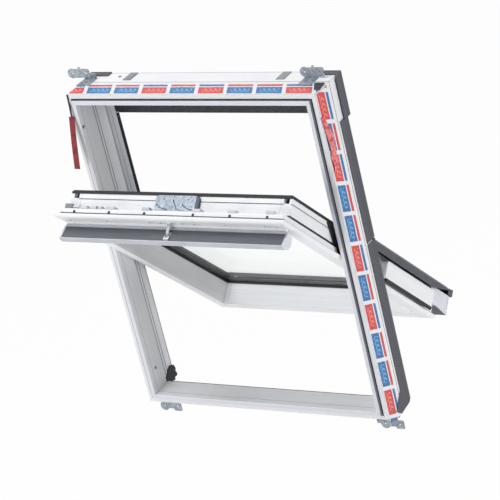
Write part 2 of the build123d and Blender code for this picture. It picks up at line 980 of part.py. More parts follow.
# Sash members
sash_box = (half_sash, sash_low, sash_high)
rail_screw_end = half_sash - rail_screw_end_in
rail_screw_row = (rail_screw_inner, (rail_screw_inner + rail_screw_end) / 2, rail_screw_end)
rail_screw_spots = [(sign * x, rail_screw_y) for sign in (-1, 1) for x in rail_screw_row]
large_vents = [(sign * x, vent_z) for sign in (-1, 1) for x in (vent_mid, half_sash - vent_end_in)]
small_vents = [(vent_small_mid + step * vent_small_pitch, vent_z) for step in (-2, -1, 0, 1, 2)]
ledge_back_y = ledge_y + ledge_run

with BuildPart() as top_rail:
    lay_member(
        "head",
        *sash_box,
        stile_width,
        top_rail_width,
        lambda: sash_section(top_rail_width, rail_back_in, False),
        on_sash,
    )
    with BuildSketch(on_sash(Plane.XZ)):
        with Locations(*large_vents):
            Rectangle(vent_length, vent_height)
        with Locations(*small_vents):
            Rectangle(vent_small_length, vent_height)
    extrude(amount=-(ledge_back_y + past), mode=Mode.SUBTRACT)
    slab(
        on_sash,
        link_x - link_width / 2 - gap,
        link_x + link_width / 2 + gap,
        -past,
        ledge_back_y + past,
        link_z - link_thick / 2 - gap,
        link_z + link_thick / 2 + gap,
        mode=Mode.SUBTRACT,
    )
    with BuildSketch(on_sash(Plane.XY.offset(channel_z))):
        with Locations(*rail_screw_spots):
            RegularPolygon(rail_screw_shank + touch, screw_sides)
    extrude(amount=-rail_screw_length, mode=Mode.SUBTRACT)
top_rail.part.label = "sash_top_rail"
export_step(top_rail.part, "parts/sash_top_rail.step")

with BuildPart() as bottom_rail:
    lay_member(
        "sill",
        *sash_box,
        stile_width,
        bottom_rail_width,
        lambda: sash_section(bottom_rail_width, channel_in, False),
        on_sash,
    )
bottom_rail.part.label = "sash_bottom_rail"
export_step(bottom_rail.part, "parts/sash_bottom_rail.step")

for side in ("left", "right"):
    with BuildPart() as stile:
        lay_member(
            side,
            *sash_box,
            stile_width,
            stile_width,
            lambda: sash_section(stile_width, stile_back_in, True),
            on_sash,
        )
        slab(
            on_sash,
            -half_sash,
            half_sash,
            ledge_back_y,
            sash_back_y + past,
            rail_top_z,
            sash_high,
            mode=Mode.SUBTRACT,
        )
    stile.part.label = "sash_stile_" + side
    export_step(stile.part, "parts/sash_stile_" + side + ".step")

# Insulated glass and its seals
for name, back_y in (("inner", glass_y), ("outer", outer_pane_y)):
    with BuildPart() as pane:
        slab(on_sash, -pane_half, pane_half, back_y, back_y + pane_thick, pane_low, pane_high)
    pane.part.label = "glass_" + name
    export_step(pane.part, "parts/glass_" + name + ".step")

with BuildPart() as spacer:
    ring(pane_half, pane_low, pane_high, spacer_reach, glass_y + pane_thick, outer_pane_y)
spacer.part.label = "glass_spacer"
export_step(spacer.part, "parts/glass_spacer.step")

with BuildPart() as glazing_seal:
    lip_half = half_sash - stile_width
    lip_low = sash_low + bottom_rail_width
    lip_high = sash_high - top_rail_width
    ring(
        lip_half + seal_back_in,
        lip_low - seal_back_in,
        lip_high + seal_back_in,
        seal_back_in + seal_lip_in,
        glass_seat_y,
        glass_y,
    )
    ring(lip_half, lip_low, lip_high, seal_lip_in, glass_seat_y - seal_lip_depth, glass_seat_y)
glazing_seal.part.label = "glazing_seal"
export_step(glazing_seal.part, "parts/glazing_seal.step")


# Gasket of the upper half, which meets the flanges of the frame
def arch(outer_half, outer_top, inner_half, inner_top, low, from_y, to_y):
    """Arch over the upper half of the sash between two depths."""
    with BuildSketch(on_sash(Plane.XZ.offset(-from_y))) as band:
        face_of(
            (-outer_half, low),
            (-outer_half, outer_top),
            (outer_half, outer_top),
            (outer_half, low),
            (inner_half, low),
            (inner_half, inner_top),
            (-inner_half, inner_top),
            (-inner_half, low),
        )
    extrude(band.sketch, amount=from_y - to_y)


seal_outer = stile_side - seal_in
seal_inner = seal_outer - sash_seal_width
seal_top_inner = rail_top_z - sash_seal_width
wrap_half = stile_side + sash_seal_wrap
wrap_top = rail_top_z + sash_seal_wrap
wrap_low = pivot_z + hinge_cover_low
seal_tip_y = head_back_y - gap
shoulder_y = sash_seal_shoulder_y

with BuildPart() as sash_seal:
    arch(seal_outer, rail_top_z, seal_inner, seal_top_inner, upper_low_z, sash_back_y, seal_tip_y)
    arch(wrap_half, wrap_top, seal_inner, seal_top_inner, wrap_low, sash_back_y, shoulder_y)
    arch(wrap_half, wrap_top, stile_side, rail_top_z, wrap_low, sash_seal_front_y, sash_back_y)
sash_seal.part.label = "sash_seal"
export_step(sash_seal.part, "parts/sash_seal.step")

# Dark trim that holds the glass on the upper half
trim_top = sash_high - top_rail_width
trim_front_y = glass_back_y + touch
with BuildPart() as glass_trim:
    arch(
        half_glass_seat,
        trim_top + glass_seat,
        half_glass_seat - trim_reach,
        trim_top,
        upper_low_z,
        trim_front_y,
        trim_front_y + trim_depth,
    )
glass_trim.part.label = "glass_trim"
export_step(glass_trim.part, "parts/glass_trim.step")

# Cladding, side blocks and side gaskets of the lower half
for side, sign in (("left", -1), ("right", 1)):
    with BuildPart() as side_cladding:
        with BuildSketch(on_sash(Plane.XY.offset(skirt_bottom_z))):
            outer = (
                (skirt_x, skirt_low_y),
                (skirt_x, skirt_back_y),
                (skirt_x - crown_in, crown_y),
                (crown_to, crown_y),
                (return_x, crown_y - crown_fall),
                (return_x, glass_back_y + gap),
            )
            inner = (
                (return_x + sheet, glass_back_y + gap),
                (return_x + sheet, crown_y - crown_fall - sheet),
                (crown_to, crown_y - sheet),
                (skirt_x - crown_in - sheet / 2, crown_y - sheet),
                (skirt_x - sheet, skirt_back_y - sheet / 2),
                (skirt_x - sheet, skirt_low_y),
            )
            face_of(*[(sign * x, y) for x, y in outer + inner])
        extrude(amount=lower_high_z - skirt_bottom_z)
        with BuildSketch(on_sash(Plane.YZ.offset(sign * (skirt_x + past)))):
            face_of(
                (skirt_low_y - past, skirt_bottom_z - past),
                (skirt_back_y - past, skirt_bottom_z - past),
                (skirt_low_y - past, skirt_bottom_z + skirt_taper),
            )
        extrude(amount=-sign * (sheet + 2 * past), mode=Mode.SUBTRACT)
    side_cladding.part.label = "sash_cladding_" + side
    export_step(side_cladding.part, "parts/sash_cladding_" + side + ".step")

    with BuildPart() as side_block:
        block_inner = half_sash - channel_in + gap
        shoulder = ledge_back_y + past
        with BuildSketch(on_sash(Plane.XY.offset(block_low_z))):
            face_of(
                (sign * block_inner, block_front_y),
                (sign * block_x, block_front_y),
                (sign * block_x, jamb_back_y - block_corner),
                (sign * (block_x - block_corner), jamb_back_y),
                (sign * (stile_side + gap), jamb_back_y),
                (sign * (stile_side + gap), shoulder),
                (sign * block_inner, shoulder),
            )
        extrude(amount=block_top_z - block_low_z)
        top_edges = side_block.edges().filter_by(Axis.X).sort_by(Axis.Z)
        fillet([top_edges[-1], top_edges.sort_by(Axis.Y)[0]], radius=block_round)
    side_block.part.label = "side_block_" + side
    export_step(side_block.part, "parts/side_block_" + side + ".step")

with BuildPart() as side_seals:
    for sign in (-1, 1):
        with BuildSketch(on_sash(Plane.XY.offset(block_low_z))):
            face_of(
                (sign * (block_x - side_seal_in), block_front_y),
                (sign * block_x, block_front_y),
                (sign * block_x, stop_y + side_seal_lip),
                (sign * (block_x - side_seal_in / 2), stop_y + gap),
                (sign * (block_x - side_seal_in), stop_y + side_seal_lip),
            )
        extrude(amount=block_top_z - block_low_z - block_round)
side_seals.part.label = "side_seals"
export_step(side_seals.part, "parts/side_seals.step")


# Foot of the sash, outside the sill, with its end caps, seal and drip cover
def foot_outline(high_z):
    """Side view of the profile below the bottom rail, up to a height."""
    return (
        (foot_front_y, high_z),
        (foot_front_y, foot_top_z),
        (foot_toe_y, foot_low_z),
        (foot_back_y, foot_low_z),
        (foot_back_y, high_z),
    )


with BuildPart() as foot:
    with BuildSketch(on_sash(Plane.YZ)):
        face_of(*foot_outline(foot_top_z)[1:])
    extrude(amount=foot_x, both=True)
foot.part.label = "sash_foot"
export_step(foot.part, "parts/sash_foot.step")

with BuildPart() as foot_caps:
    cap_top_z = block_low_z - gap
    for sign in (-1, 1):
        with BuildSketch(on_sash(Plane.YZ.offset(sign * foot_x))):
            face_of(*foot_outline(cap_top_z))
        extrude(amount=sign * foot_cap)
        slab(
            on_sash,
            sign * (half_sash - channel_in + gap),
            sign * foot_x,
            foot_front_y,
            foot_back_y,
            foot_top_z + gap,
            cap_top_z,
        )
        slab(
            on_sash,
            sign * (foot_x + foot_cap - cap_recess),
            sign * (foot_x + foot_cap + past),
            foot_front_y + cap_recess_edge,
            foot_back_y - cap_recess_edge,
            foot_low_z + cap_recess_edge,
            foot_top_z - cap_recess_edge,
            mode=Mode.SUBTRACT,
        )
foot_caps.part.label = "foot_caps"
export_step(foot_caps.part, "parts/foot_caps.step")

with BuildPart() as foot_seal:
    slab(
        on_sash,
        -foot_x,
        foot_x,
        foot_toe_y,
        foot_toe_y + foot_seal_width,
        foot_low_z - foot_seal_drop,
        foot_low_z,
    )
foot_seal.part.label = "foot_seal"
export_step(foot_seal.part, "parts/foot_seal.step")

drip_top_z = pane_low + drip_lap
drip_half = return_x - gap
drip_end_x = foot_x + foot_cap
drip_side_top = skirt_bottom_z - split_gap

with BuildPart() as drip_cover:
    with BuildSketch(on_sash(Plane.YZ)):
        face_of(
            (glass_back_y + gap, drip_top_z),
            (crown_y - crown_fall, drip_top_z),
            (crown_y, drip_top_z - drip_top_fall),
            (drip_back_y, drip_z),
            (drip_front_y, drip_z),
            (drip_front_y, drip_z + sheet),
            (drip_back_y - sheet, drip_z + sheet),
            (crown_y - sheet, drip_top_z - drip_top_fall),
            (crown_y - crown_fall, drip_top_z - sheet),
            (glass_back_y + gap, drip_top_z - sheet),
        )
    extrude(amount=drip_half, both=True)
    for sign in (-1, 1):
        with BuildSketch(on_sash(Plane.YZ.offset(sign * drip_half))):
            face_of(
                (crown_y, drip_side_top),
                (crown_y + sheet, drip_side_top),
                (drip_back_y, drip_z),
                (drip_front_y, drip_z),
                (drip_front_y, drip_z + sheet),
                (drip_back_y - 2 * sheet, drip_z + sheet),
            )
        extrude(amount=sign * (drip_end_x - drip_half))
        with BuildSketch(on_sash(Plane.YZ.offset(sign * drip_end_x))):
            face_of(
                (drip_front_y, drip_z),
                (drip_back_y, drip_z),
                (crown_y + sheet, drip_z + drip_end_rise),
                (drip_front_y, drip_z + drip_end_rise),
            )
        extrude(amount=-sign * sheet)
drip_cover.part.label = "drip_cover"
export_step(drip_cover.part, "parts/drip_cover.step")

# Lock case on the rear of the top rail, with its slots
left_slot_path = ThreePointArc(*[(lock_mid_x + x, lock_front_y + y) for x, y in lock_left_slot])
right_slot_path = ThreePointArc(*[(lock_mid_x + x, lock_front_y + y) for x, y in lock_right_slot])

with BuildPart() as lock_case:
    with BuildSketch(on_sash(Plane.XY.offset(rail_top_z))):
        with Locations((lock_mid_x, (lock_front_y + lock_back_y) / 2)):
            RectangleRounded(lock_width, lock_back_y - lock_front_y, lock_corner)
    extrude(amount=lock_height)
    with BuildSketch(on_sash(Plane.XY.offset(rail_top_z + lock_height))):
        SlotArc(left_slot_path, lock_slot)
        SlotArc(right_slot_path, lock_slot)
        with Locations((lock_mid_x + lock_middle_slot[0], lock_front_y + lock_middle_slot[1])):
            SlotOverall(lock_middle_slot_length, lock_slot, rotation=lock_middle_slot_angle)
        with Locations(*[(lock_mid_x + x, lock_front_y + y) for x, y in lock_holes]):
            RegularPolygon(lock_slot / 2, screw_sides)
    extrude(amount=-lock_slot_depth, mode=Mode.SUBTRACT)
lock_case.part.label = "lock_case"
export_step(lock_case.part, "parts/lock_case.step")

with BuildPart() as latch_link:
    slab(
        on_sash,
        link_x - link_width / 2,
        link_x + link_width / 2,
        link_tip_y,
        link_tail_y,
        link_z - link_thick / 2,
        link_z + link_thick / 2,
    )
latch_link.part.label = "latch_link"
export_step(latch_link.part, "parts/latch_link.step")

# Screws and clips along the top rail
with BuildPart() as rail_screws:
    with BuildSketch(on_sash(Plane.XY.offset(channel_z))):
        with Locations(*rail_screw_spots):
            RegularPolygon(rail_screw_head, screw_sides)
    extrude(amount=rail_screw_rise)
    with BuildSketch(on_sash(Plane.XY.offset(channel_z))):
        with Locations(*rail_screw_spots):
            RegularPolygon(rail_screw_shank, screw_sides)
    extrude(amount=touch - rail_screw_length)
rail_screws.part.label = "rail_screws"
export_step(rail_screws.part, "parts/rail_screws.step")

with BuildPart() as rail_clips:
    for from_x, to_x in clip_spans:
        with BuildSketch(on_sash(Plane.YZ.offset(from_x))):
            face_of(
                (ledge_y + touch, channel_z + clip_rise),
                (ledge_y + clip_thick, channel_z + clip_rise),
                (ledge_y + clip_thick, channel_z + clip_rise - clip_head),
                (ledge_back_y + touch + clip_foot, rail_top_z),
                (ledge_back_y + touch, rail_top_z),
            )
        extrude(amount=to_x - from_x)
rail_clips.part.label = "rail_clips"
export_step(rail_clips.part, "parts/rail_clips.step")

# Barrel bolt, which holds the sash when it is turned over for cleaning
with BuildPart() as bolt_guide:
    slab(
        on_sash,
        bolt_x + bolt_guide_in,
        bolt_far_x - bolt_travel - bolt_guide_play,
        bolt_y - bolt_radius - bolt_guide_wall,
        bolt_y + bolt_radius + bolt_guide_wall,
        rail_top_z,
        bolt_z + bolt_radius + bolt_guide_wall,
    )
    with BuildSketch(on_sash(Plane.YZ.offset(bolt_x))):
        with Locations((bolt_y, bolt_z)):
            Circle(bolt_radius + bolt_fit)
    extrude(amount=bolt_length, mode=Mode.SUBTRACT)
bolt_guide.part.label = "bolt_guide"
export_step(bolt_guide.part, "parts/bolt_guide.step")

with BuildPart() as barrel_bolt:
    with BuildSketch(on_sash(Plane.YZ.offset(bolt_x))):
        with Locations((bolt_y, bolt_z)):
            Circle(bolt_radius)
    extrude(amount=bolt_length)
    with BuildSketch(on_sash(Plane.YZ.offset(bolt_far_x))):
        with Locations((bolt_y, bolt_z)):
            Circle(bolt_radius + bolt_knob_rise)
    extrude(amount=bolt_knob_length)
barrel_bolt.part.label = "barrel_bolt"
export_step(barrel_bolt.part, "parts/barrel_bolt.step")


# Ventilation flap, filter, control bar and hook
def bar_plane(x):
    """Section plane of the bar: x runs along the flap from its hinge, y away from its back."""
    rise = radians(flap_rise_angle)
    return on_sash(
        Plane(origin=(x, flap_hinge_y, flap_hinge_z), x_dir=(0, -cos(rise), sin(rise)), z_dir=(1, 0, 0))
    )


def bar_outline():
    """Rounded grip profile with the lip that holds the flap's free edge."""
    top = flap_thick / 2 + touch
    edge = flap_length + touch
    with BuildLine() as outline:
        Polyline(
            (bar_start, top),
            (edge, top),
            (edge, -flap_thick),
            (edge + bar_lip, -flap_thick),
            (edge + bar_lip, bar_heel),
        )
        Spline((edge + bar_lip, bar_heel), *bar_grip, (bar_start, top))
    make_face(outline.edges())


with BuildPart() as vent_flap:
    with BuildSketch(bar_plane(-flap_half)):
        Circle(flap_bead)
        with Locations((flap_length / 2, 0)):
            Rectangle(flap_length, flap_thick)
    extrude(amount=2 * flap_half)
vent_flap.part.label = "vent_flap"
export_step(vent_flap.part, "parts/vent_flap.step")

with BuildPart() as vent_filter:
    filter_n = -(flap_thick + filter_thick) / 2
    with BuildSketch(bar_plane(filter_end_in - flap_half)):
        with Locations(((filter_from + filter_to) / 2, filter_n)):
            Rectangle(filter_to - filter_from, filter_thick)
    extrude(amount=2 * (flap_half - filter_end_in))
    with BuildSketch(bar_plane(link_x - hook_half - gap)):
        with Locations(((filter_notch_from + filter_to + past) / 2, filter_n)):
            Rectangle(filter_to + past - filter_notch_from, filter_thick + past)
    extrude(amount=2 * (hook_half + gap), mode=Mode.SUBTRACT)
vent_filter.part.label = "vent_filter"
export_step(vent_filter.part, "parts/vent_filter.step")

with BuildPart() as control_bar:
    with BuildSketch(bar_plane(-flap_half)):
        bar_outline()
    extrude(amount=2 * flap_half)
control_bar.part.label = "control_bar"
export_step(control_bar.part, "parts/control_bar.step")

with BuildPart() as bar_caps:
    for sign in (-1, 1):
        with BuildSketch(bar_plane(sign * (flap_half + touch))):
            bar_outline()
            with Locations(((flap_length + bar_start) / 2, 0)):
                Rectangle(flap_length - bar_start, flap_thick)
        extrude(amount=sign * bar_cap)
bar_caps.part.label = "bar_caps"
export_step(bar_caps.part, "parts/bar_caps.step")

with BuildPart() as flap_hinge:
    slab(
        on_sash,
        flap_strip_end_in - flap_half,
        flap_half - flap_strip_end_in,
        flap_hinge_y + flap_bead + gap,
        0,
        flap_hinge_z - flap_strip_half_height,
        flap_hinge_z + flap_strip_half_height,
    )
flap_hinge.part.label = "flap_hinge"
export_step(flap_hinge.part, "parts/flap_hinge.step")

with BuildPart() as bar_hook:
    back_n = -flap_thick / 2
    with BuildSketch(bar_plane(link_x - hook_half)):
        face_of(
            (hook_from, back_n),
            (hook_to, back_n),
            (hook_to, back_n - hook_height),
            (hook_from + hook_slope, back_n - hook_height),
            (hook_from, back_n - hook_height / 2),
        )
    extrude(amount=2 * hook_half)
    with BuildSketch(bar_plane(link_x - hook_half + hook_prong)):
        with Locations(((hook_from + hook_to) / 2 - hook_bridge, back_n - hook_height / 2)):
            Rectangle(hook_to - hook_from, hook_height + past)
    extrude(amount=2 * (hook_half - hook_prong), mode=Mode.SUBTRACT)
bar_hook.part.label = "bar_hook"
export_step(bar_hook.part, "parts/bar_hook.step")
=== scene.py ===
import json
import math

import bpy
from mathutils import Matrix, Vector


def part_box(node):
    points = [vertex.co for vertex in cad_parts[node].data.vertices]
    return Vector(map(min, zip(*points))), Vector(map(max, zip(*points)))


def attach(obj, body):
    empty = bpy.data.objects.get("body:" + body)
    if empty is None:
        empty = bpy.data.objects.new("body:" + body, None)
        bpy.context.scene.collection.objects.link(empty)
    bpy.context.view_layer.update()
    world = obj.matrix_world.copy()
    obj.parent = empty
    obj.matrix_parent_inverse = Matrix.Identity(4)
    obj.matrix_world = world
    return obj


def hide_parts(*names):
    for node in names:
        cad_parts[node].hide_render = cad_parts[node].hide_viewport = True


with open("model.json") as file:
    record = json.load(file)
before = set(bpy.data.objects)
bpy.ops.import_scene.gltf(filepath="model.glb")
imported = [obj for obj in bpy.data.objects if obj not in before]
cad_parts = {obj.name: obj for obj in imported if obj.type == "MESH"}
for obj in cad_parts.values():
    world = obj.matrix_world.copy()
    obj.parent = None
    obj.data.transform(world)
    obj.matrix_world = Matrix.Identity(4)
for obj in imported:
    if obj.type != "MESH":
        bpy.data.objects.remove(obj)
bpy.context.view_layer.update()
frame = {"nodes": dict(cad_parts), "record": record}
nodes = frame["nodes"]

# Camera, from its place, its sideways and its upward direction
CAMERA_PLACE = Vector((3.33124, -4.78043, 3.18356))
CAMERA_RIGHT = Vector((0.85722, 0.46643, -0.21821))
CAMERA_UP = Vector((-0.03345, 0.47329, 0.88027))
CAMERA_LENS = 168.05
CAMERA_REACH = 100
SENSOR = 36

# Floor and light, with each lamp's place, the point that it faces, its size and its power
FLOOR_Z = -0.9
FLOOR_SIZE = 60
FLOOR_WHITE = 0.97
FLOOR_GLOW = 0.97
WORLD_LIGHT = 0.25
LAMPS = {
    "top_lamp": ((-0.9, -0.6, 4.2), (0, 0, 0.5), 2.0, 96),
    "front_lamp": ((-1.5, -5.2, 0.9), (0, 0, 0.5), 3.2, 112),
    "side_lamp": ((4.2, 0.1, 0.6), (0.4, 0.05, 0.5), 0.7, 66),
}

# Window sizes that the finishes follow, the sash's own measured as if it were shut
HALF_WIDTH = 0.390
FRAME_HEIGHT = 0.980
# Painted shade on the frame's front, which lies before a depth: bands in from the outer edge for the groove,
# the jamb's groove and the lip
GROOVE_SHADE_IN = (0.0118, 0.0152)
JAMB_GROOVE_SHADE_IN = (0.0118, 0.0168)
GROOVE_DEEPEST = -0.040
LIP_SHADE_IN = (0.0152, 0.0262)
# Painted shade strip and painted highlight down a jamb's inner face, by depth, and how far in that face lies
JAMB_SHADE_STRIP = (0.012, 0.031)
JAMB_HIGHLIGHT_LINE = (0.0355, 0.0385)
JAMB_INSIDE = 0.3765
# Painted shade in the sash's bead groove and stile slot: depth, then distance in from the edge
BEAD_GROOVE_SHADE = ((0.0108, 0.0167), (0.0102, 0.0250))
STILE_SLOT_SHADE = ((0.0276, 0.0362), (0.0103, 0.0220))
SASH_HALF = 0.359
SASH_LOW = 0.032
SASH_HIGH = 0.949
MITRE_LINE = 0.00045
MITRE_SHARE = 0.55
# Share of the lilac painted shade on the lip
LIP_SHADE_SHARE = 0.8
# Reach of the painted shade in grooves and corners, on the profiles and on small parts
PVC_SHADE_REACH = 0.008
SMALL_SHADE_REACH = 0.004
SASH_PIVOT = Vector((0, 0.125, 0.496))
SASH_TURN = math.radians(45)

# Flange of the upper covers, painted near black as shade where it shows inside the opening
FLANGE_HALF = 0.387
FLANGE_DEPTH = (0.089, 0.095)

# Printed tape
TAPE_PITCH = 0.0895
TAPE_SLANT = 0.44
TAPE_GAP = 0.13
TAPE_BAND = (-0.043, -0.0035)
TAPE_ROW = (0.0015, 0.0135)
TAPE_EDGES = (-0.0475, 0.018)
TAPE_THICK = 0.00025
TAPE_CREASE = 0.0007
TAPE_STEP = 0.006
TAPE_TAIL = -0.027
TAPE_RED_CELLS = (0, 3)
TAPE_CYCLE = 5
CHEVRON_PITCH = 0.015
CHEVRON_HALF = 0.0105
CHEVRON_LENGTH = 0.45
CHEVRON_MARGIN = 0.12
CHEVRON_END = 0.9
CHEVRON_INK = 0.9
JAMB_TAPE_SHIFT = 0.02
TAPE_CREASE_SIZE = 0.03

# Crumpled end of film on the right jamb: height, place across and half width down its length
FOLD_PATH = (
    (0.912, -0.036, 0.005), (0.895, -0.026, 0.013), (0.868, -0.030, 0.014), (0.840, -0.024, 0.012),
    (0.815, -0.026, 0.016), (0.792, -0.031, 0.012), (0.768, -0.038, 0.009), (0.752, -0.041, 0.007),
)
FOLD_THICK = 0.0005
FOLD_LIFT = 0.0035
FOLD_CREASE_SIZE = 0.012

# Black end patch on the head, its corners in length and depth
PATCH_CORNERS = ((0.352, 0.021), (0.384, 0.021), (0.3895, -0.024), (0.374, -0.024))
PATCH_THICK = 0.0008

# Red card and its strap at the top left corner, with the card's bow as share of length and depth
TAG_TOP = (-0.383, -0.0605, 0.919)
TAG_FOOT = (-0.378, -0.1035, 0.781)
TAG_BOW = ((0, 0), (0.25, -0.0012), (0.5, -0.0018), (0.75, -0.0012), (1, 0))
TAG_WIDTH = 0.018
TAG_THICK = 0.0012
STRAP_WIDTH = 0.005
STRAP_THICK = 0.0014
STRAP_POINTS = (
    (-0.386, -0.051, 0.981),
    (-0.3865, -0.0515, 0.960),
    (-0.385, -0.0555, 0.938),
    (-0.383, -0.0605, 0.916),
)

# Clear part of the glass inside its dark border: half width, foot and top
GLASS_BORDER = (0.3195, 0.0865, 0.8735)
GLASS_IOR = 1.05

# End face of the lock case, painted darker as shade: depth, height and place across on the shut sash
LOCK_DEPTH = (0.02, 0.09)
LOCK_HEIGHT = (0.900, 0.914)
LOCK_END = (0.058, 0.075)

# Metal share of the two metal finishes
ZINC_METALLIC = 0.55
STEEL_METALLIC = 0.9

# Directions in which a profile's drawing lines run
LINES_ACROSS = (0.012, 1, 1)
LINES_UPRIGHT = (1, 1, 0.012)

# Largest angle over which an added piece is shaded smooth, and slack for comparing heights
SMOOTH_ANGLE = math.radians(40)
ROUNDING = 1e-6


def linear(red, green, blue):
    """Scene colour from the 0 to 255 values of a colour as seen."""
    def one(value):
        share = value / 255
        return share / 12.92 if share <= 0.04045 else ((share + 0.055) / 1.055) ** 2.4

    return one(red), one(green), one(blue), 1


PVC_WHITE = linear(247, 248, 250)
PVC_SHADE = linear(238, 240, 244)
# Dark grey of the painted shade in grooves and corners, also used for the dark mitre joints
PVC_SHADE_AND_JOINT = linear(104, 107, 116)
# Lilac painted shade on the lip and the jamb's strip, and white of the painted highlight down a jamb's inner
# face
PVC_LILAC_SHADE = linear(226, 227, 238)
PVC_HIGHLIGHT = linear(254, 254, 255)
TAPE_WHITE = linear(240, 242, 247)
TAPE_BLUE = linear(14, 102, 168)
TAPE_PALE_BLUE = linear(96, 186, 236)
TAPE_RED = linear(214, 46, 50)
TAPE_PALE_RED = linear(250, 138, 118)
CLADDING_DARK = linear(56, 58, 67)
CLADDING_PALE = linear(71, 73, 82)
# Lighter grey of the painted highlight along the cladding's edges
CLADDING_EDGE_HIGHLIGHT = linear(120, 123, 132)
# Near black of the painted shade on the cover flange inside the opening
FLANGE_SHADE = linear(20, 23, 31)
RUBBER_BLACK = linear(22, 23, 27)
RUBBER_DUST = linear(52, 54, 60)
# Darker zinc of the painted shade in the sheet's folds and corners
ZINC_FOLD_SHADE = linear(84, 90, 96)
# Grey of the painted shade on the lock case's end face
LOCK_END_SHADE = linear(84, 90, 100)
STEEL_BRIGHT = linear(206, 210, 214)
STEEL_TARNISH = linear(158, 162, 168)
FILTER_DARK = linear(80, 85, 93)
FILTER_PALE = linear(101, 106, 114)
FILM_CREASED = linear(248, 150, 146)
CARD_RED = linear(140, 26, 38)
CARD_WORN = linear(84, 16, 26)
GLASS_TINT = (0.985, 1.0, 0.992, 1)
GLASS_PASSING = (0.992, 0.996, 0.994, 1)
SEALANT_DARK = linear(34, 37, 44)
# Dark grey of the painted shade in the clips' creases and corners
CLIP_CREASE_SHADE = linear(120, 123, 130)


def add_camera():
    """The camera at the photograph's viewing angle."""
    camera = bpy.data.objects.new("camera", bpy.data.cameras.new("camera"))
    bpy.context.scene.collection.objects.link(camera)
    back = CAMERA_RIGHT.cross(CAMERA_UP)
    turn = Matrix((CAMERA_RIGHT, CAMERA_UP, back)).transposed().to_4x4()
    camera.matrix_world = Matrix.Translation(CAMERA_PLACE) @ turn
    camera.data.lens = CAMERA_LENS
    camera.data.sensor_width = SENSOR
    camera.data.clip_end = CAMERA_REACH
    bpy.context.scene.camera = camera


def put(tree, kind, sockets=(), **settings):
    """A shader node with its settings made and its sockets set or joined."""
    made = tree.nodes.new(kind)
    for name, value in settings.items():
        setattr(made, name, value)
    for name, value in dict(sockets).items():
        if isinstance(value, bpy.types.NodeSocket):
            tree.links.new(value, made.inputs[name])
        else:
            made.inputs[name].default_value = value
    return made


def sums(tree, operation, *values):
    """The result of one piece of arithmetic."""
    return put(tree, "ShaderNodeMath", dict(enumerate(values)), operation=operation).outputs[0]


def spread(tree, value, low, high, to_low=0.0, to_high=1.0):
    """A number moved from one range to another and kept inside it."""
    ends = {"Value": value, "From Min": low, "From Max": high, "To Min": to_low, "To Max": to_high}
    return put(tree, "ShaderNodeMapRange", ends).outputs[0]


def between(tree, value, low, high):
    """One where a number lies between two limits, and nought elsewhere."""
    over = sums(tree, "GREATER_THAN", value, low)
    return sums(tree, "MULTIPLY", over, sums(tree, "LESS_THAN", value, high))


def blended(tree, share, first, second):
    """Two colours mixed by a share."""
    mix = put(tree, "ShaderNodeMix", {0: share, 6: first, 7: second}, data_type="RGBA")
    return mix.outputs[2]


def start_finish(name):
    """A new material, its node tree and its shader."""
    material = bpy.data.materials.new(name)
    material.use_nodes = True
    tree = material.node_tree
    return material, tree, tree.nodes["Principled BSDF"]


def place_of(tree, on_sash=False):
    """Place on the window, with the sash's own pieces measured as if the sash were shut."""
    place = put(tree, "ShaderNodeTexCoord").outputs["Object"]
    if on_sash:
        back = Matrix.Rotation(-SASH_TURN, 3, "X")
        shift = SASH_PIVOT - back @ SASH_PIVOT
        turned = {"Vector": place, "Location": shift, "Rotation": (-SASH_TURN, 0, 0)}
        place = put(tree, "ShaderNodeMapping", turned).outputs[0]
    return place


def grain(tree, place, scale, stretch=(1, 1, 1), detail=3.0, roughness=0.55):
    """Soft mottling, drawn out along the directions that have a small stretch."""
    drawn = put(tree, "ShaderNodeMapping", {"Vector": place, "Scale": stretch}).outputs[0]
    sockets = {"Vector": drawn, "Scale": scale, "Detail": detail, "Roughness": roughness}
    return put(tree, "ShaderNodeTexNoise", sockets).outputs[0]


def painted_crease_shade(tree, reach, low=0.25, high=0.85):
    """Painted shade: nought deep in a piece's own grooves and corners, where its colour is darkened as
    shade, and one on its open faces.
    """
    shade = put(tree, "ShaderNodeAmbientOcclusion", {"Distance": reach}, only_local=True, samples=8)
    return spread(tree, shade.outputs["AO"], low, high)


def relief(tree, shader, height, depth, edge=0.0):
    """Fine relief on a surface, over edges rounded by a small radius."""
    sockets = {"Height": height, "Distance": depth, "Strength": 1.0}
    if edge:
        sockets["Normal"] = put(tree, "ShaderNodeBevel", {"Radius": edge}, samples=4).outputs[0]
    bump = put(tree, "ShaderNodeBump", sockets)
    tree.links.new(bump.outputs[0], shader.inputs["Normal"])


def colour_in(tree, shader, colour):
    """Joins a worked-out colour to the shader."""
    tree.links.new(colour, shader.inputs["Base Color"])


def rough_in(tree, shader, value, low, high):
    """Roughness that follows a mottling between two values."""
    tree.links.new(spread(tree, value, 0.3, 0.7, low, high), shader.inputs["Roughness"])


def inset(tree, split, half, low, high):
    """How far in from a rectangle's sides, and from its nearer end, a place lies."""
    side = sums(tree, "SUBTRACT", half, sums(tree, "ABSOLUTE", split[0]))
    foot = sums(tree, "SUBTRACT", split[2], low)
    top = sums(tree, "SUBTRACT", high, split[2])
    return side, sums(tree, "MINIMUM", foot, top)


def edge_distance(tree, split, half, low, high):
    """How far in from the outer edge of a rectangle a place lies."""
    return sums(tree, "MINIMUM", *inset(tree, split, half, low, high))


def mitre_lines(tree, split, half, low, high):
    """One along the hairline joints where the four members of a rectangle meet."""
    side, end = inset(tree, split, half, low, high)
    off = sums(tree, "ABSOLUTE", sums(tree, "SUBTRACT", side, end))
    return sums(tree, "LESS_THAN", off, MITRE_LINE)


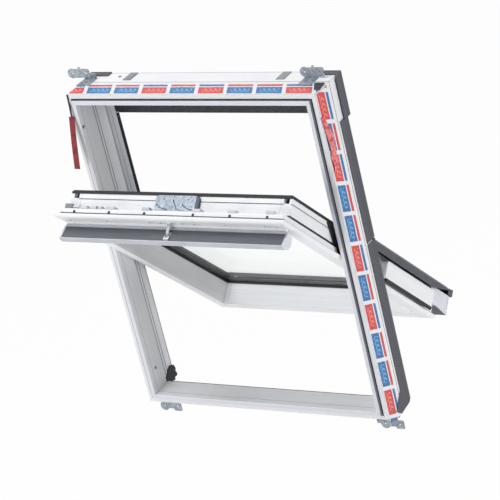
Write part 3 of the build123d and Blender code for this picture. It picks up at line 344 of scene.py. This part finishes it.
def frame_lines(tree, parted, in_from_edge, colour, upright):
    """Frame profile's painted shade in its front groove and a lilac painted shade on its lip, and a painted
    shade strip and a painted highlight down a jamb's inner face.
    """
    front = sums(tree, "LESS_THAN", parted[1], GROOVE_DEEPEST)
    # On the front, the lip gets a lilac painted shade and the groove a dark painted shade
    lip = sums(tree, "MULTIPLY", between(tree, in_from_edge, *LIP_SHADE_IN), front)
    colour = blended(tree, sums(tree, "MULTIPLY", lip, LIP_SHADE_SHARE), colour, PVC_LILAC_SHADE)
    groove = between(tree, in_from_edge, *(JAMB_GROOVE_SHADE_IN if upright else GROOVE_SHADE_IN))
    colour = blended(tree, sums(tree, "MULTIPLY", groove, front), colour, PVC_SHADE_AND_JOINT)
    if upright:
        # On a jamb's inner face, a strip is darkened as painted shade and a narrow band lightened as a
        # painted highlight
        inside = sums(tree, "LESS_THAN", sums(tree, "ABSOLUTE", parted[0]), JAMB_INSIDE)
        strip = sums(tree, "MULTIPLY", inside, between(tree, parted[1], *JAMB_SHADE_STRIP))
        line = sums(tree, "MULTIPLY", inside, between(tree, parted[1], *JAMB_HIGHLIGHT_LINE))
        colour = blended(tree, strip, colour, PVC_LILAC_SHADE)
        colour = blended(tree, line, colour, PVC_HIGHLIGHT)
    return colour


def sash_lines(tree, parted, in_from_edge, colour, upright):
    """Sash profile's painted shade in the groove beside the bead, and in the slot down a stile's side."""
    grooves = (BEAD_GROOVE_SHADE, STILE_SLOT_SHADE) if upright else (BEAD_GROOVE_SHADE,)
    for (shallow, deep), (near, far) in grooves:
        # Each groove and slot is darkened as painted shade
        groove = sums(
            tree, "MULTIPLY",
            between(tree, parted[1], shallow, deep),
            between(tree, in_from_edge, near, far),
        )
        colour = blended(tree, groove, colour, PVC_SHADE_AND_JOINT)
    return colour


def white_pvc(name, stretch, on_sash):
    """White window profile: faint drawing lines along its length, painted shade in its grooves, corners and
    on the lip, a painted highlight down a jamb's inner face, hairline mitres.
    """
    material, tree, shader = start_finish(name)
    place = place_of(tree, on_sash)
    parted = put(tree, "ShaderNodeSeparateXYZ", {"Vector": place}).outputs
    lines = grain(tree, place, scale=220, stretch=stretch, detail=2.0)
    cloud = grain(tree, place, scale=9)
    tone = sums(tree, "ADD", sums(tree, "MULTIPLY", lines, 0.6), sums(tree, "MULTIPLY", cloud, 0.4))
    colour = blended(tree, spread(tree, tone, low=0.35, high=0.65), PVC_SHADE, PVC_WHITE)
    rectangle = (SASH_HALF, SASH_LOW, SASH_HIGH) if on_sash else (HALF_WIDTH, 0.0, FRAME_HEIGHT)
    in_from_edge = edge_distance(tree, parted, *rectangle)
    drawn_lines = sash_lines if on_sash else frame_lines
    colour = drawn_lines(tree, parted, in_from_edge, colour, stretch == LINES_UPRIGHT)
    mitre = sums(tree, "MULTIPLY", mitre_lines(tree, parted, *rectangle), MITRE_SHARE)
    colour = blended(tree, mitre, colour, PVC_SHADE_AND_JOINT)
    # Painted shade darkens the piece's own grooves and corners
    colour_in(tree, shader, blended(tree, painted_crease_shade(tree, PVC_SHADE_REACH), PVC_SHADE_AND_JOINT, colour))
    rough_in(tree, shader, cloud, low=0.34, high=0.46)
    relief(tree, shader, lines, depth=0.00006, edge=0.0007)
    return material


def moulded_plastic(name, colour, shade, rough=0.5, crease_shade_colour=None):
    """Moulded plastic: finely sparked surface, slight clouding, slightly rounded edges."""
    material, tree, shader = start_finish(name)
    place = place_of(tree)
    sparks = grain(tree, place, scale=1400, detail=1.0)
    cloud = grain(tree, place, scale=14)
    tone = blended(tree, spread(tree, cloud, low=0.35, high=0.65), shade, colour)
    # Where a colour for creases is given, painted shade darkens the piece's creases and corners
    if crease_shade_colour:
        tone = blended(tree, painted_crease_shade(tree, SMALL_SHADE_REACH), crease_shade_colour, tone)
    colour_in(tree, shader, tone)
    rough_in(tree, shader, cloud, low=rough - 0.06, high=rough + 0.08)
    relief(tree, shader, sparks, depth=0.00005, edge=0.0006)
    return material


def painted_cladding():
    """Dark powder-coated aluminium: fine orange-peel, faint rain streaks, edges painted lighter as a painted
    highlight, the cover flange inside the opening painted near black as shade.
    """
    material, tree, shader = start_finish("dark_cladding")
    place = place_of(tree)
    peel = grain(tree, place, scale=700, detail=2.0)
    streak = grain(tree, place, scale=60, stretch=(1, 1, 0.05))
    colour = blended(tree, spread(tree, streak, low=0.35, high=0.7), CLADDING_DARK, CLADDING_PALE)
    parted = put(tree, "ShaderNodeSeparateXYZ", {"Vector": place}).outputs
    # Painted shade: the cover flange inside the opening, in the upper half, is painted near black
    inside = sums(tree, "LESS_THAN", sums(tree, "ABSOLUTE", parted[0]), FLANGE_HALF)
    flange = sums(tree, "MULTIPLY", inside, between(tree, parted[1], *FLANGE_DEPTH))
    flange = sums(tree, "MULTIPLY", flange, sums(tree, "GREATER_THAN", parted[2], SASH_PIVOT.z))
    colour = blended(tree, flange, colour, FLANGE_SHADE)
    # Painted highlight: edges, found from a rounded normal, are painted lighter
    rounded = put(tree, "ShaderNodeBevel", {"Radius": 0.0012}, samples=4).outputs[0]
    flat = put(tree, "ShaderNodeNewGeometry").outputs["Normal"]
    along = put(tree, "ShaderNodeVectorMath", {0: rounded, 1: flat}, operation="DOT_PRODUCT")
    edge_highlight = spread(tree, along.outputs["Value"], 0.97, 0.80)
    colour_in(tree, shader, blended(tree, sums(tree, "MULTIPLY", edge_highlight, 0.5), colour, CLADDING_EDGE_HIGHLIGHT))
    rough_in(tree, shader, peel, low=0.42, high=0.56)
    relief(tree, shader, peel, depth=0.00006, edge=0.0008)
    return material


def seal_rubber():
    """Black sealing rubber: dusty mottling over a fine matt grain."""
    material, tree, shader = start_finish("black_rubber")
    place = place_of(tree)
    dust = grain(tree, place, scale=45, detail=6.0)
    pits = grain(tree, place, scale=600, detail=3.0)
    colour_in(tree, shader, blended(tree, spread(tree, dust, low=0.45, high=0.8), RUBBER_BLACK, RUBBER_DUST))
    rough_in(tree, shader, dust, low=0.62, high=0.82)
    relief(tree, shader, pits, depth=0.00015, edge=0.0006)
    return material


def galvanised_sheet(name, dark, pale):
    """Galvanised sheet: zinc flowers of differing grey and gloss, with painted shade in its folds and on the
    lock case's end face.
    """
    material, tree, shader = start_finish(name)
    place = place_of(tree)
    flowers = put(tree, "ShaderNodeTexVoronoi", {"Vector": place, "Scale": 190, "Randomness": 1.0})
    tone = put(tree, "ShaderNodeSeparateColor", {"Color": flowers.outputs["Color"]}).outputs[0]
    cloud = grain(tree, place, scale=30)
    zinc = blended(tree, tone, dark, pale)
    dull = blended(tree, sums(tree, "MULTIPLY", spread(tree, cloud, low=0.4, high=0.7), 0.5), zinc, dark)
    parted = put(tree, "ShaderNodeSeparateXYZ", {"Vector": place_of(tree, on_sash=True)}).outputs
    # Painted shade: the lock case's end face is painted darker
    on_lock = between(tree, parted[1], *LOCK_DEPTH)
    on_lock = sums(tree, "MULTIPLY", on_lock, between(tree, parted[2], *LOCK_HEIGHT))
    shaded_end = sums(tree, "MULTIPLY", on_lock, between(tree, parted[0], *LOCK_END))
    # Painted shade darkens the sheet's own folds and corners
    colour = blended(tree, painted_crease_shade(tree, SMALL_SHADE_REACH), ZINC_FOLD_SHADE, dull)
    colour_in(tree, shader, blended(tree, shaded_end, colour, LOCK_END_SHADE))
    shader.inputs["Metallic"].default_value = ZINC_METALLIC
    rough_in(tree, shader, tone, low=0.36, high=0.52)
    relief(tree, shader, tone, depth=0.00003, edge=0.0005)
    return material


def bright_metal():
    """Bright steel: fine turning and drawing lines, slight tarnish."""
    material, tree, shader = start_finish("bright_steel")
    place = place_of(tree)
    drawn = grain(tree, place, scale=900, stretch=(0.04, 1, 1), detail=2.0)
    tarnish = grain(tree, place, scale=40, detail=5.0)
    colour = blended(tree, spread(tree, tarnish, low=0.4, high=0.8), STEEL_BRIGHT, STEEL_TARNISH)
    colour_in(tree, shader, colour)
    shader.inputs["Metallic"].default_value = STEEL_METALLIC
    rough_in(tree, shader, drawn, low=0.22, high=0.38)
    relief(tree, shader, drawn, depth=0.00002, edge=0.0004)
    return material


def flap_filter():
    """Grey ventilation filter: fine lines along the window's width over a felted grain."""
    material, tree, shader = start_finish("grey_flap")
    place = place_of(tree)
    ribs = grain(tree, place, scale=420, stretch=(0.02, 1, 1), detail=2.0)
    felt = grain(tree, place, scale=900, detail=4.0)
    tone = sums(tree, "ADD", sums(tree, "MULTIPLY", ribs, 0.7), sums(tree, "MULTIPLY", felt, 0.3))
    colour_in(tree, shader, blended(tree, spread(tree, tone, low=0.35, high=0.65), FILTER_DARK, FILTER_PALE))
    rough_in(tree, shader, felt, low=0.6, high=0.8)
    relief(tree, shader, tone, depth=0.0002)
    return material


def tape_red_bars(tree, bars):
    """One on the tape's red bars, counted in a repeating cycle, and nought on its blue ones."""
    number = sums(tree, "FLOORED_MODULO", sums(tree, "FLOOR", bars), float(TAPE_CYCLE))
    first, second = (sums(tree, "COMPARE", number, float(cell), 0.1) for cell in TAPE_RED_CELLS)
    return sums(tree, "MAXIMUM", first, second)


def tape_chevrons(tree, along, across, share):
    """One on the row of small chevrons down the middle of each bar."""
    off = sums(tree, "ABSOLUTE", sums(tree, "SUBTRACT", across, sum(TAPE_BAND) / 2))
    points = sums(tree, "FRACT", sums(tree, "DIVIDE", sums(tree, "ADD", along, off), CHEVRON_PITCH))
    chevron = between(tree, points, 0.0, CHEVRON_LENGTH)
    chevron = sums(tree, "MULTIPLY", chevron, sums(tree, "LESS_THAN", off, CHEVRON_HALF))
    inner = between(tree, share, TAPE_GAP + CHEVRON_MARGIN, CHEVRON_END)
    return sums(tree, "MULTIPLY", chevron, inner)


def printed_tape(name, run_axis, shift):
    """White protective film printed with slanted colour bars, small chevrons and a thin second row."""
    material, tree, shader = start_finish(name)
    place = place_of(tree)
    parted = put(tree, "ShaderNodeSeparateXYZ", {"Vector": place}).outputs
    across = parted[1]
    along = sums(tree, "ADD", parted[run_axis], shift)
    slanted = sums(tree, "MULTIPLY_ADD", across, TAPE_SLANT, along)
    bars = sums(tree, "DIVIDE", slanted, TAPE_PITCH)
    share = sums(tree, "FRACT", bars)
    red = tape_red_bars(tree, bars)
    chevron = sums(tree, "MULTIPLY", tape_chevrons(tree, along, across, share), CHEVRON_INK)
    ink = blended(tree, red, TAPE_BLUE, TAPE_RED)
    light_ink = blended(tree, red, TAPE_PALE_BLUE, TAPE_PALE_RED)
    ink = blended(tree, chevron, ink, light_ink)
    other_ink = blended(tree, red, TAPE_RED, TAPE_BLUE)
    in_bar = sums(tree, "GREATER_THAN", share, TAPE_GAP)
    band = sums(tree, "MULTIPLY", in_bar, between(tree, across, *TAPE_BAND))
    row = sums(tree, "MULTIPLY", in_bar, between(tree, across, *TAPE_ROW))
    rubbed = grain(tree, place, scale=260, detail=3.0)
    cover = spread(tree, rubbed, low=0.28, high=0.38, to_low=0.7)
    colour = blended(tree, sums(tree, "MULTIPLY", band, cover), TAPE_WHITE, ink)
    colour_in(tree, shader, blended(tree, sums(tree, "MULTIPLY", row, cover), colour, other_ink))
    creases = grain(tree, place, scale=55, detail=4.0)
    rough_in(tree, shader, creases, low=0.22, high=0.34)
    relief(tree, shader, creases, depth=0.0004)
    return material


def red_film():
    """Crumpled red film, paler where its creases stand up."""
    material, tree, shader = start_finish("red_film")
    place = place_of(tree)
    folds = grain(tree, place, scale=110, stretch=(1, 0.6, 1), detail=3.0)
    colour_in(tree, shader, blended(tree, spread(tree, folds, low=0.4, high=0.62), TAPE_RED, FILM_CREASED))
    rough_in(tree, shader, folds, low=0.2, high=0.35)
    relief(tree, shader, folds, depth=0.0012)
    return material


def red_tag():
    """Dark red card with darker rubbed spots."""
    material, tree, shader = start_finish("red_card")
    place = place_of(tree)
    spots = grain(tree, place, scale=70, detail=4.0)
    fibre = grain(tree, place, scale=800, detail=3.0)
    colour_in(tree, shader, blended(tree, spread(tree, spots, low=0.42, high=0.66), CARD_RED, CARD_WORN))
    rough_in(tree, shader, spots, low=0.48, high=0.66)
    relief(tree, shader, fibre, depth=0.0001)
    return material


def clear_glass():
    """Clear float glass, faintly green, that lets light pass into the rest of the window."""
    material, tree, shader = start_finish("clear_glass")
    place = place_of(tree)
    shader.inputs["Base Color"].default_value = GLASS_TINT
    shader.inputs["Transmission Weight"].default_value = 1.0
    shader.inputs["IOR"].default_value = GLASS_IOR
    film = grain(tree, place, scale=6, detail=5.0)
    tree.links.new(spread(tree, film, 0.4, 0.9, 0.0, 0.05), shader.inputs["Roughness"])
    path = put(tree, "ShaderNodeLightPath").outputs
    passing = sums(tree, "MAXIMUM", path["Is Shadow Ray"], path["Is Diffuse Ray"])
    clear = put(tree, "ShaderNodeBsdfTransparent", {"Color": GLASS_PASSING}).outputs[0]
    mix = put(tree, "ShaderNodeMixShader", {0: passing, 1: shader.outputs[0], 2: clear})
    parted = put(tree, "ShaderNodeSeparateXYZ", {"Vector": place_of(tree, on_sash=True)}).outputs
    half, low, high = GLASS_BORDER
    border = sums(tree, "LESS_THAN", edge_distance(tree, parted, half, low, high), 0.0)
    sealant = put(tree, "ShaderNodeBsdfDiffuse", {"Color": SEALANT_DARK}).outputs[0]
    bordered = put(tree, "ShaderNodeMixShader", {0: border, 1: mix.outputs[0], 2: sealant})
    tree.links.new(bordered.outputs[0], tree.nodes["Material Output"].inputs["Surface"])
    return material


def crumple(piece, size, depth, along):
    """Presses soft creases into a piece along one direction."""
    texture = bpy.data.textures.new(piece.name + "_creases", "CLOUDS")
    texture.noise_scale = size
    creases = piece.modifiers.new("creases", "DISPLACE")
    creases.texture = texture
    creases.texture_coords = "LOCAL"
    creases.direction = along
    creases.strength = depth
    bpy.ops.object.modifier_apply(modifier=creases.name)


def give_thickness(piece, thick):
    """Turns a sheet into a thin closed film."""
    wall = piece.modifiers.new("thickness", "SOLIDIFY")
    wall.thickness = thick
    wall.offset = 0
    bpy.ops.object.modifier_apply(modifier=wall.name)


def film_strip(name, length, low, high):
    """A flat strip of film in X and Y, with enough divisions to take creases."""
    bpy.ops.object.select_all(action="DESELECT")
    bpy.ops.mesh.primitive_grid_add(
        size=1,
        x_subdivisions=round(length / TAPE_STEP),
        y_subdivisions=round((high - low) / TAPE_STEP),
    )
    piece = bpy.context.object
    piece.name = name
    bpy.ops.object.mode_set(mode="EDIT")
    bpy.ops.mesh.select_all(action="SELECT")
    bpy.ops.transform.resize(value=(length, high - low, 1))
    bpy.ops.transform.translate(value=(0, (low + high) / 2, 0))
    bpy.ops.object.mode_set(mode="OBJECT")
    return piece


def stand_up(piece, side, middle):
    """Turns a strip that runs along X to run up a jamb's outer face, with its middle at a height."""
    bpy.ops.object.mode_set(mode="EDIT")
    bpy.ops.mesh.select_all(action="SELECT")
    bpy.ops.transform.rotate(value=math.radians(90), orient_axis="Y", center_override=(0, 0, 0))
    bpy.ops.transform.translate(value=(side, 0, middle))
    bpy.ops.object.mode_set(mode="OBJECT")


def finish_piece(piece, material, slot, *stands_for):
    """Gives a frame piece its finish and its body, and hides the CAD pieces that it stands for; its slot is
    not used.
    """
    piece.data.materials.append(material)
    bpy.ops.object.shade_smooth_by_angle(angle=SMOOTH_ANGLE)
    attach(piece, "frame")
    if stands_for:
        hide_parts(*stands_for)


def add_head_tape():
    """Printed film along the top of the head, lying in soft creases."""
    low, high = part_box("tape_head")
    tape = film_strip("head_film", high.x - low.x, *TAPE_EDGES)
    crumple(tape, TAPE_CREASE_SIZE, TAPE_CREASE, "Z")
    give_thickness(tape, TAPE_THICK)
    bpy.ops.object.mode_set(mode="EDIT")
    bpy.ops.mesh.select_all(action="SELECT")
    bpy.ops.transform.translate(value=(0, 0, low.z + TAPE_CREASE))
    bpy.ops.object.mode_set(mode="OBJECT")
    finish_piece(tape, finishes["printed_tape"], "printed_tape", "tape_head")


def add_jamb_tape(name, node, side, foot):
    """Printed film up the outer face of a jamb."""
    low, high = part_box(node)
    tape = film_strip(name, high.z - foot, *TAPE_EDGES)
    crumple(tape, TAPE_CREASE_SIZE, TAPE_CREASE, "Z")
    give_thickness(tape, TAPE_THICK)
    face = HALF_WIDTH + TAPE_CREASE
    stand_up(tape, side * face, (high.z + foot) / 2)
    print_up = printed_tape("printed_" + node, run_axis=2, shift=JAMB_TAPE_SHIFT * side)
    finish_piece(tape, print_up, "printed_tape", node)


def add_film_fold():
    """Loose end of red film, crumpled over the upper part of the right jamb."""
    length = FOLD_PATH[0][0] - FOLD_PATH[-1][0]
    fold = film_strip("film_fold", length, -0.5, 0.5)
    top = FOLD_PATH[0][0]
    for vertex in fold.data.vertices:
        height = top - (vertex.co.x + length / 2)
        for upper, lower in zip(FOLD_PATH, FOLD_PATH[1:]):
            if lower[0] - ROUNDING <= height <= upper[0] + ROUNDING:
                share = (upper[0] - height) / (upper[0] - lower[0])
                centre = upper[1] + (lower[1] - upper[1]) * share
                half = upper[2] + (lower[2] - upper[2]) * share
                vertex.co.y = centre + vertex.co.y * 2 * half
                break
    crumple(fold, FOLD_CREASE_SIZE, FOLD_LIFT, "Z")
    give_thickness(fold, FOLD_THICK)
    stand_up(fold, HALF_WIDTH + TAPE_CREASE * 2 + FOLD_LIFT / 2, (top + FOLD_PATH[-1][0]) / 2)
    finish_piece(fold, red_film(), "printed_tape")


def ribbon(name, width, thick, points):
    """A flat ribbon of one width that runs through a list of places."""
    bpy.ops.object.select_all(action="DESELECT")
    bpy.ops.mesh.primitive_plane_add(size=1)
    piece = bpy.context.object
    piece.name = name
    bpy.ops.object.mode_set(mode="EDIT")
    bpy.ops.mesh.select_all(action="SELECT")
    bpy.ops.transform.resize(value=(width, thick, 1))
    bpy.ops.transform.translate(value=points[0])
    for start, end in zip(points, points[1:]):
        step = Vector(end) - Vector(start)
        bpy.ops.mesh.extrude_region_move(TRANSFORM_OT_translate={"value": step})
    bpy.ops.mesh.select_all(action="SELECT")
    bpy.ops.mesh.normals_make_consistent(inside=False)
    bpy.ops.object.mode_set(mode="OBJECT")
    return piece


def add_tag():
    """Red card that leans forward below a black strap at the top left corner."""
    lean = Vector(TAG_FOOT) - Vector(TAG_TOP)
    places = [Vector(TAG_TOP) + lean * share + Vector((0, bow, 0)) for share, bow in TAG_BOW]
    card = ribbon("hanging_card", TAG_WIDTH, TAG_THICK, places)
    finish_piece(card, finishes["red_card"], "red_card", "tag")
    strap = ribbon("card_strap", STRAP_WIDTH, STRAP_THICK, STRAP_POINTS)
    finish_piece(strap, finishes["black_rubber"], "black_rubber", "tag_strap")


def add_head_patch():
    """Black slanted patch at the right end of the head."""
    bpy.ops.object.select_all(action="DESELECT")
    bpy.ops.mesh.primitive_plane_add(size=1)
    patch = bpy.context.object
    patch.name = "head_end_patch"
    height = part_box("tape_head")[0].z + TAPE_CREASE * 2
    # The plane's corners in turn round its middle, from its far left one
    order = sorted(patch.data.vertices, key=lambda v: math.atan2(v.co.y, v.co.x), reverse=True)
    start = order.index(min(order, key=lambda v: (v.co.x - v.co.y)))
    for number, corner in enumerate(PATCH_CORNERS):
        order[(start + number) % len(order)].co = (*corner, height)
    bpy.ops.object.mode_set(mode="EDIT")
    bpy.ops.mesh.select_all(action="SELECT")
    bpy.ops.mesh.normals_make_consistent(inside=False)
    bpy.ops.mesh.subdivide(number_cuts=3)
    bpy.ops.object.mode_set(mode="OBJECT")
    give_thickness(patch, PATCH_THICK)
    finish_piece(patch, finishes["black_plastic"], "black_plastic")


def seen_directly(tree):
    """One for what the camera, a reflection or the glass shows, and nought for what gives light."""
    path = put(tree, "ShaderNodeLightPath").outputs
    seen = sums(tree, "MAXIMUM", path["Is Camera Ray"], path["Is Glossy Ray"])
    return sums(tree, "MAXIMUM", seen, path["Is Transmission Ray"])


def add_floor():
    """Pale floor well below the window, white to the camera and still holding a soft shadow."""
    bpy.ops.mesh.primitive_plane_add(size=FLOOR_SIZE, location=(0, 0, FLOOR_Z))
    floor = bpy.context.object
    floor.name = "floor"
    material, tree, shader = start_finish("floor_white")
    shader.inputs["Base Color"].default_value = (FLOOR_WHITE, FLOOR_WHITE, FLOOR_WHITE, 1)
    shader.inputs["Roughness"].default_value = 1
    share = sums(tree, "MULTIPLY", seen_directly(tree), FLOOR_GLOW)
    glow = put(tree, "ShaderNodeEmission").outputs[0]
    mix = put(tree, "ShaderNodeMixShader", {0: share, 1: shader.outputs[0], 2: glow})
    tree.links.new(mix.outputs[0], tree.nodes["Material Output"].inputs["Surface"])
    floor.data.materials.append(material)


def add_world():
    """Even surroundings, white where they are seen and softer where they light the window."""
    world = bpy.data.worlds.new("studio")
    bpy.context.scene.world = world
    world.use_nodes = True
    tree = world.node_tree
    strength = spread(tree, seen_directly(tree), 0.0, 1.0, WORLD_LIGHT, 1.0)
    sky = tree.nodes["Background"]
    sky.inputs["Color"].default_value = (1, 1, 1, 1)
    tree.links.new(strength, sky.inputs["Strength"])


def add_lamp(name, place, toward, size, power):
    """A square soft lamp that faces a point."""
    lamp = bpy.data.lights.new(name, "AREA")
    lamp.size = size
    lamp.energy = power
    lamp_object = bpy.data.objects.new(name, lamp)
    bpy.context.scene.collection.objects.link(lamp_object)
    way = Vector(toward) - Vector(place)
    lamp_object.matrix_world = (
        Matrix.Translation(place) @ way.to_track_quat("-Z", "Y").to_matrix().to_4x4()
    )


FRAME_PVC = white_pvc("white_pvc_across", LINES_ACROSS, on_sash=False)
JAMB_PVC = white_pvc("white_pvc_upright", LINES_UPRIGHT, on_sash=False)
RAIL_PVC = white_pvc("white_pvc_rail", LINES_ACROSS, on_sash=True)
STILE_PVC = white_pvc("white_pvc_stile", LINES_UPRIGHT, on_sash=True)

finishes = {
    "white_pvc": FRAME_PVC,
    "pale_plastic": moulded_plastic("pale_plastic", linear(232, 234, 242), linear(218, 220, 232)),
    "light_grey_plastic": moulded_plastic(
        "light_grey_plastic", linear(206, 209, 215), linear(194, 197, 204)
    ),
    "grey_plastic": moulded_plastic("grey_plastic", linear(152, 156, 164), linear(126, 130, 138)),
    "grey_flap": flap_filter(),
    "black_plastic": moulded_plastic("black_plastic", linear(34, 35, 40), linear(24, 25, 29)),
    "black_rubber": seal_rubber(),
    "dark_cladding": painted_cladding(),
    "galvanised_steel": galvanised_sheet("galvanised_steel", linear(128, 136, 145), linear(170, 178, 187)),
    "bright_steel": bright_metal(),
    "printed_tape": printed_tape("printed_tape_head", run_axis=0, shift=0.0),
    "red_card": red_tag(),
    "clear_glass": clear_glass(),
}
own_finish = {
    "frame_jamb_left": JAMB_PVC,
    "frame_jamb_right": JAMB_PVC,
    "side_block_left": STILE_PVC,
    "side_block_right": STILE_PVC,
    "sash_stile_left": STILE_PVC,
    "sash_stile_right": STILE_PVC,
    "sash_top_rail": RAIL_PVC,
    "sash_bottom_rail": RAIL_PVC,
    "flap_hinge": RAIL_PVC,
    "lock_case": galvanised_sheet("lock_zinc", linear(136, 147, 160), linear(186, 196, 207)),
    "rail_clips": moulded_plastic(
        "clip_plastic", linear(214, 216, 221), linear(188, 191, 198), crease_shade_colour=CLIP_CREASE_SHADE
    ),
}

bpy.context.scene.view_settings.view_transform = "Standard"
add_camera()
add_floor()
add_world()
for lamp_name, lamp_values in LAMPS.items():
    add_lamp(lamp_name, *lamp_values)

for row in frame["record"]["subparts"]:
    mesh = nodes[row["node"]].data
    mesh.materials.clear()
    mesh.materials.append(own_finish.get(row["node"], finishes[row["material_slot"]]))

add_head_tape()
add_jamb_tape("left_film", "tape_left", -1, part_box("tape_left")[0].z)
add_jamb_tape("right_film", "tape_right", 1, TAPE_TAIL)
add_film_fold()
add_head_patch()
add_tag()
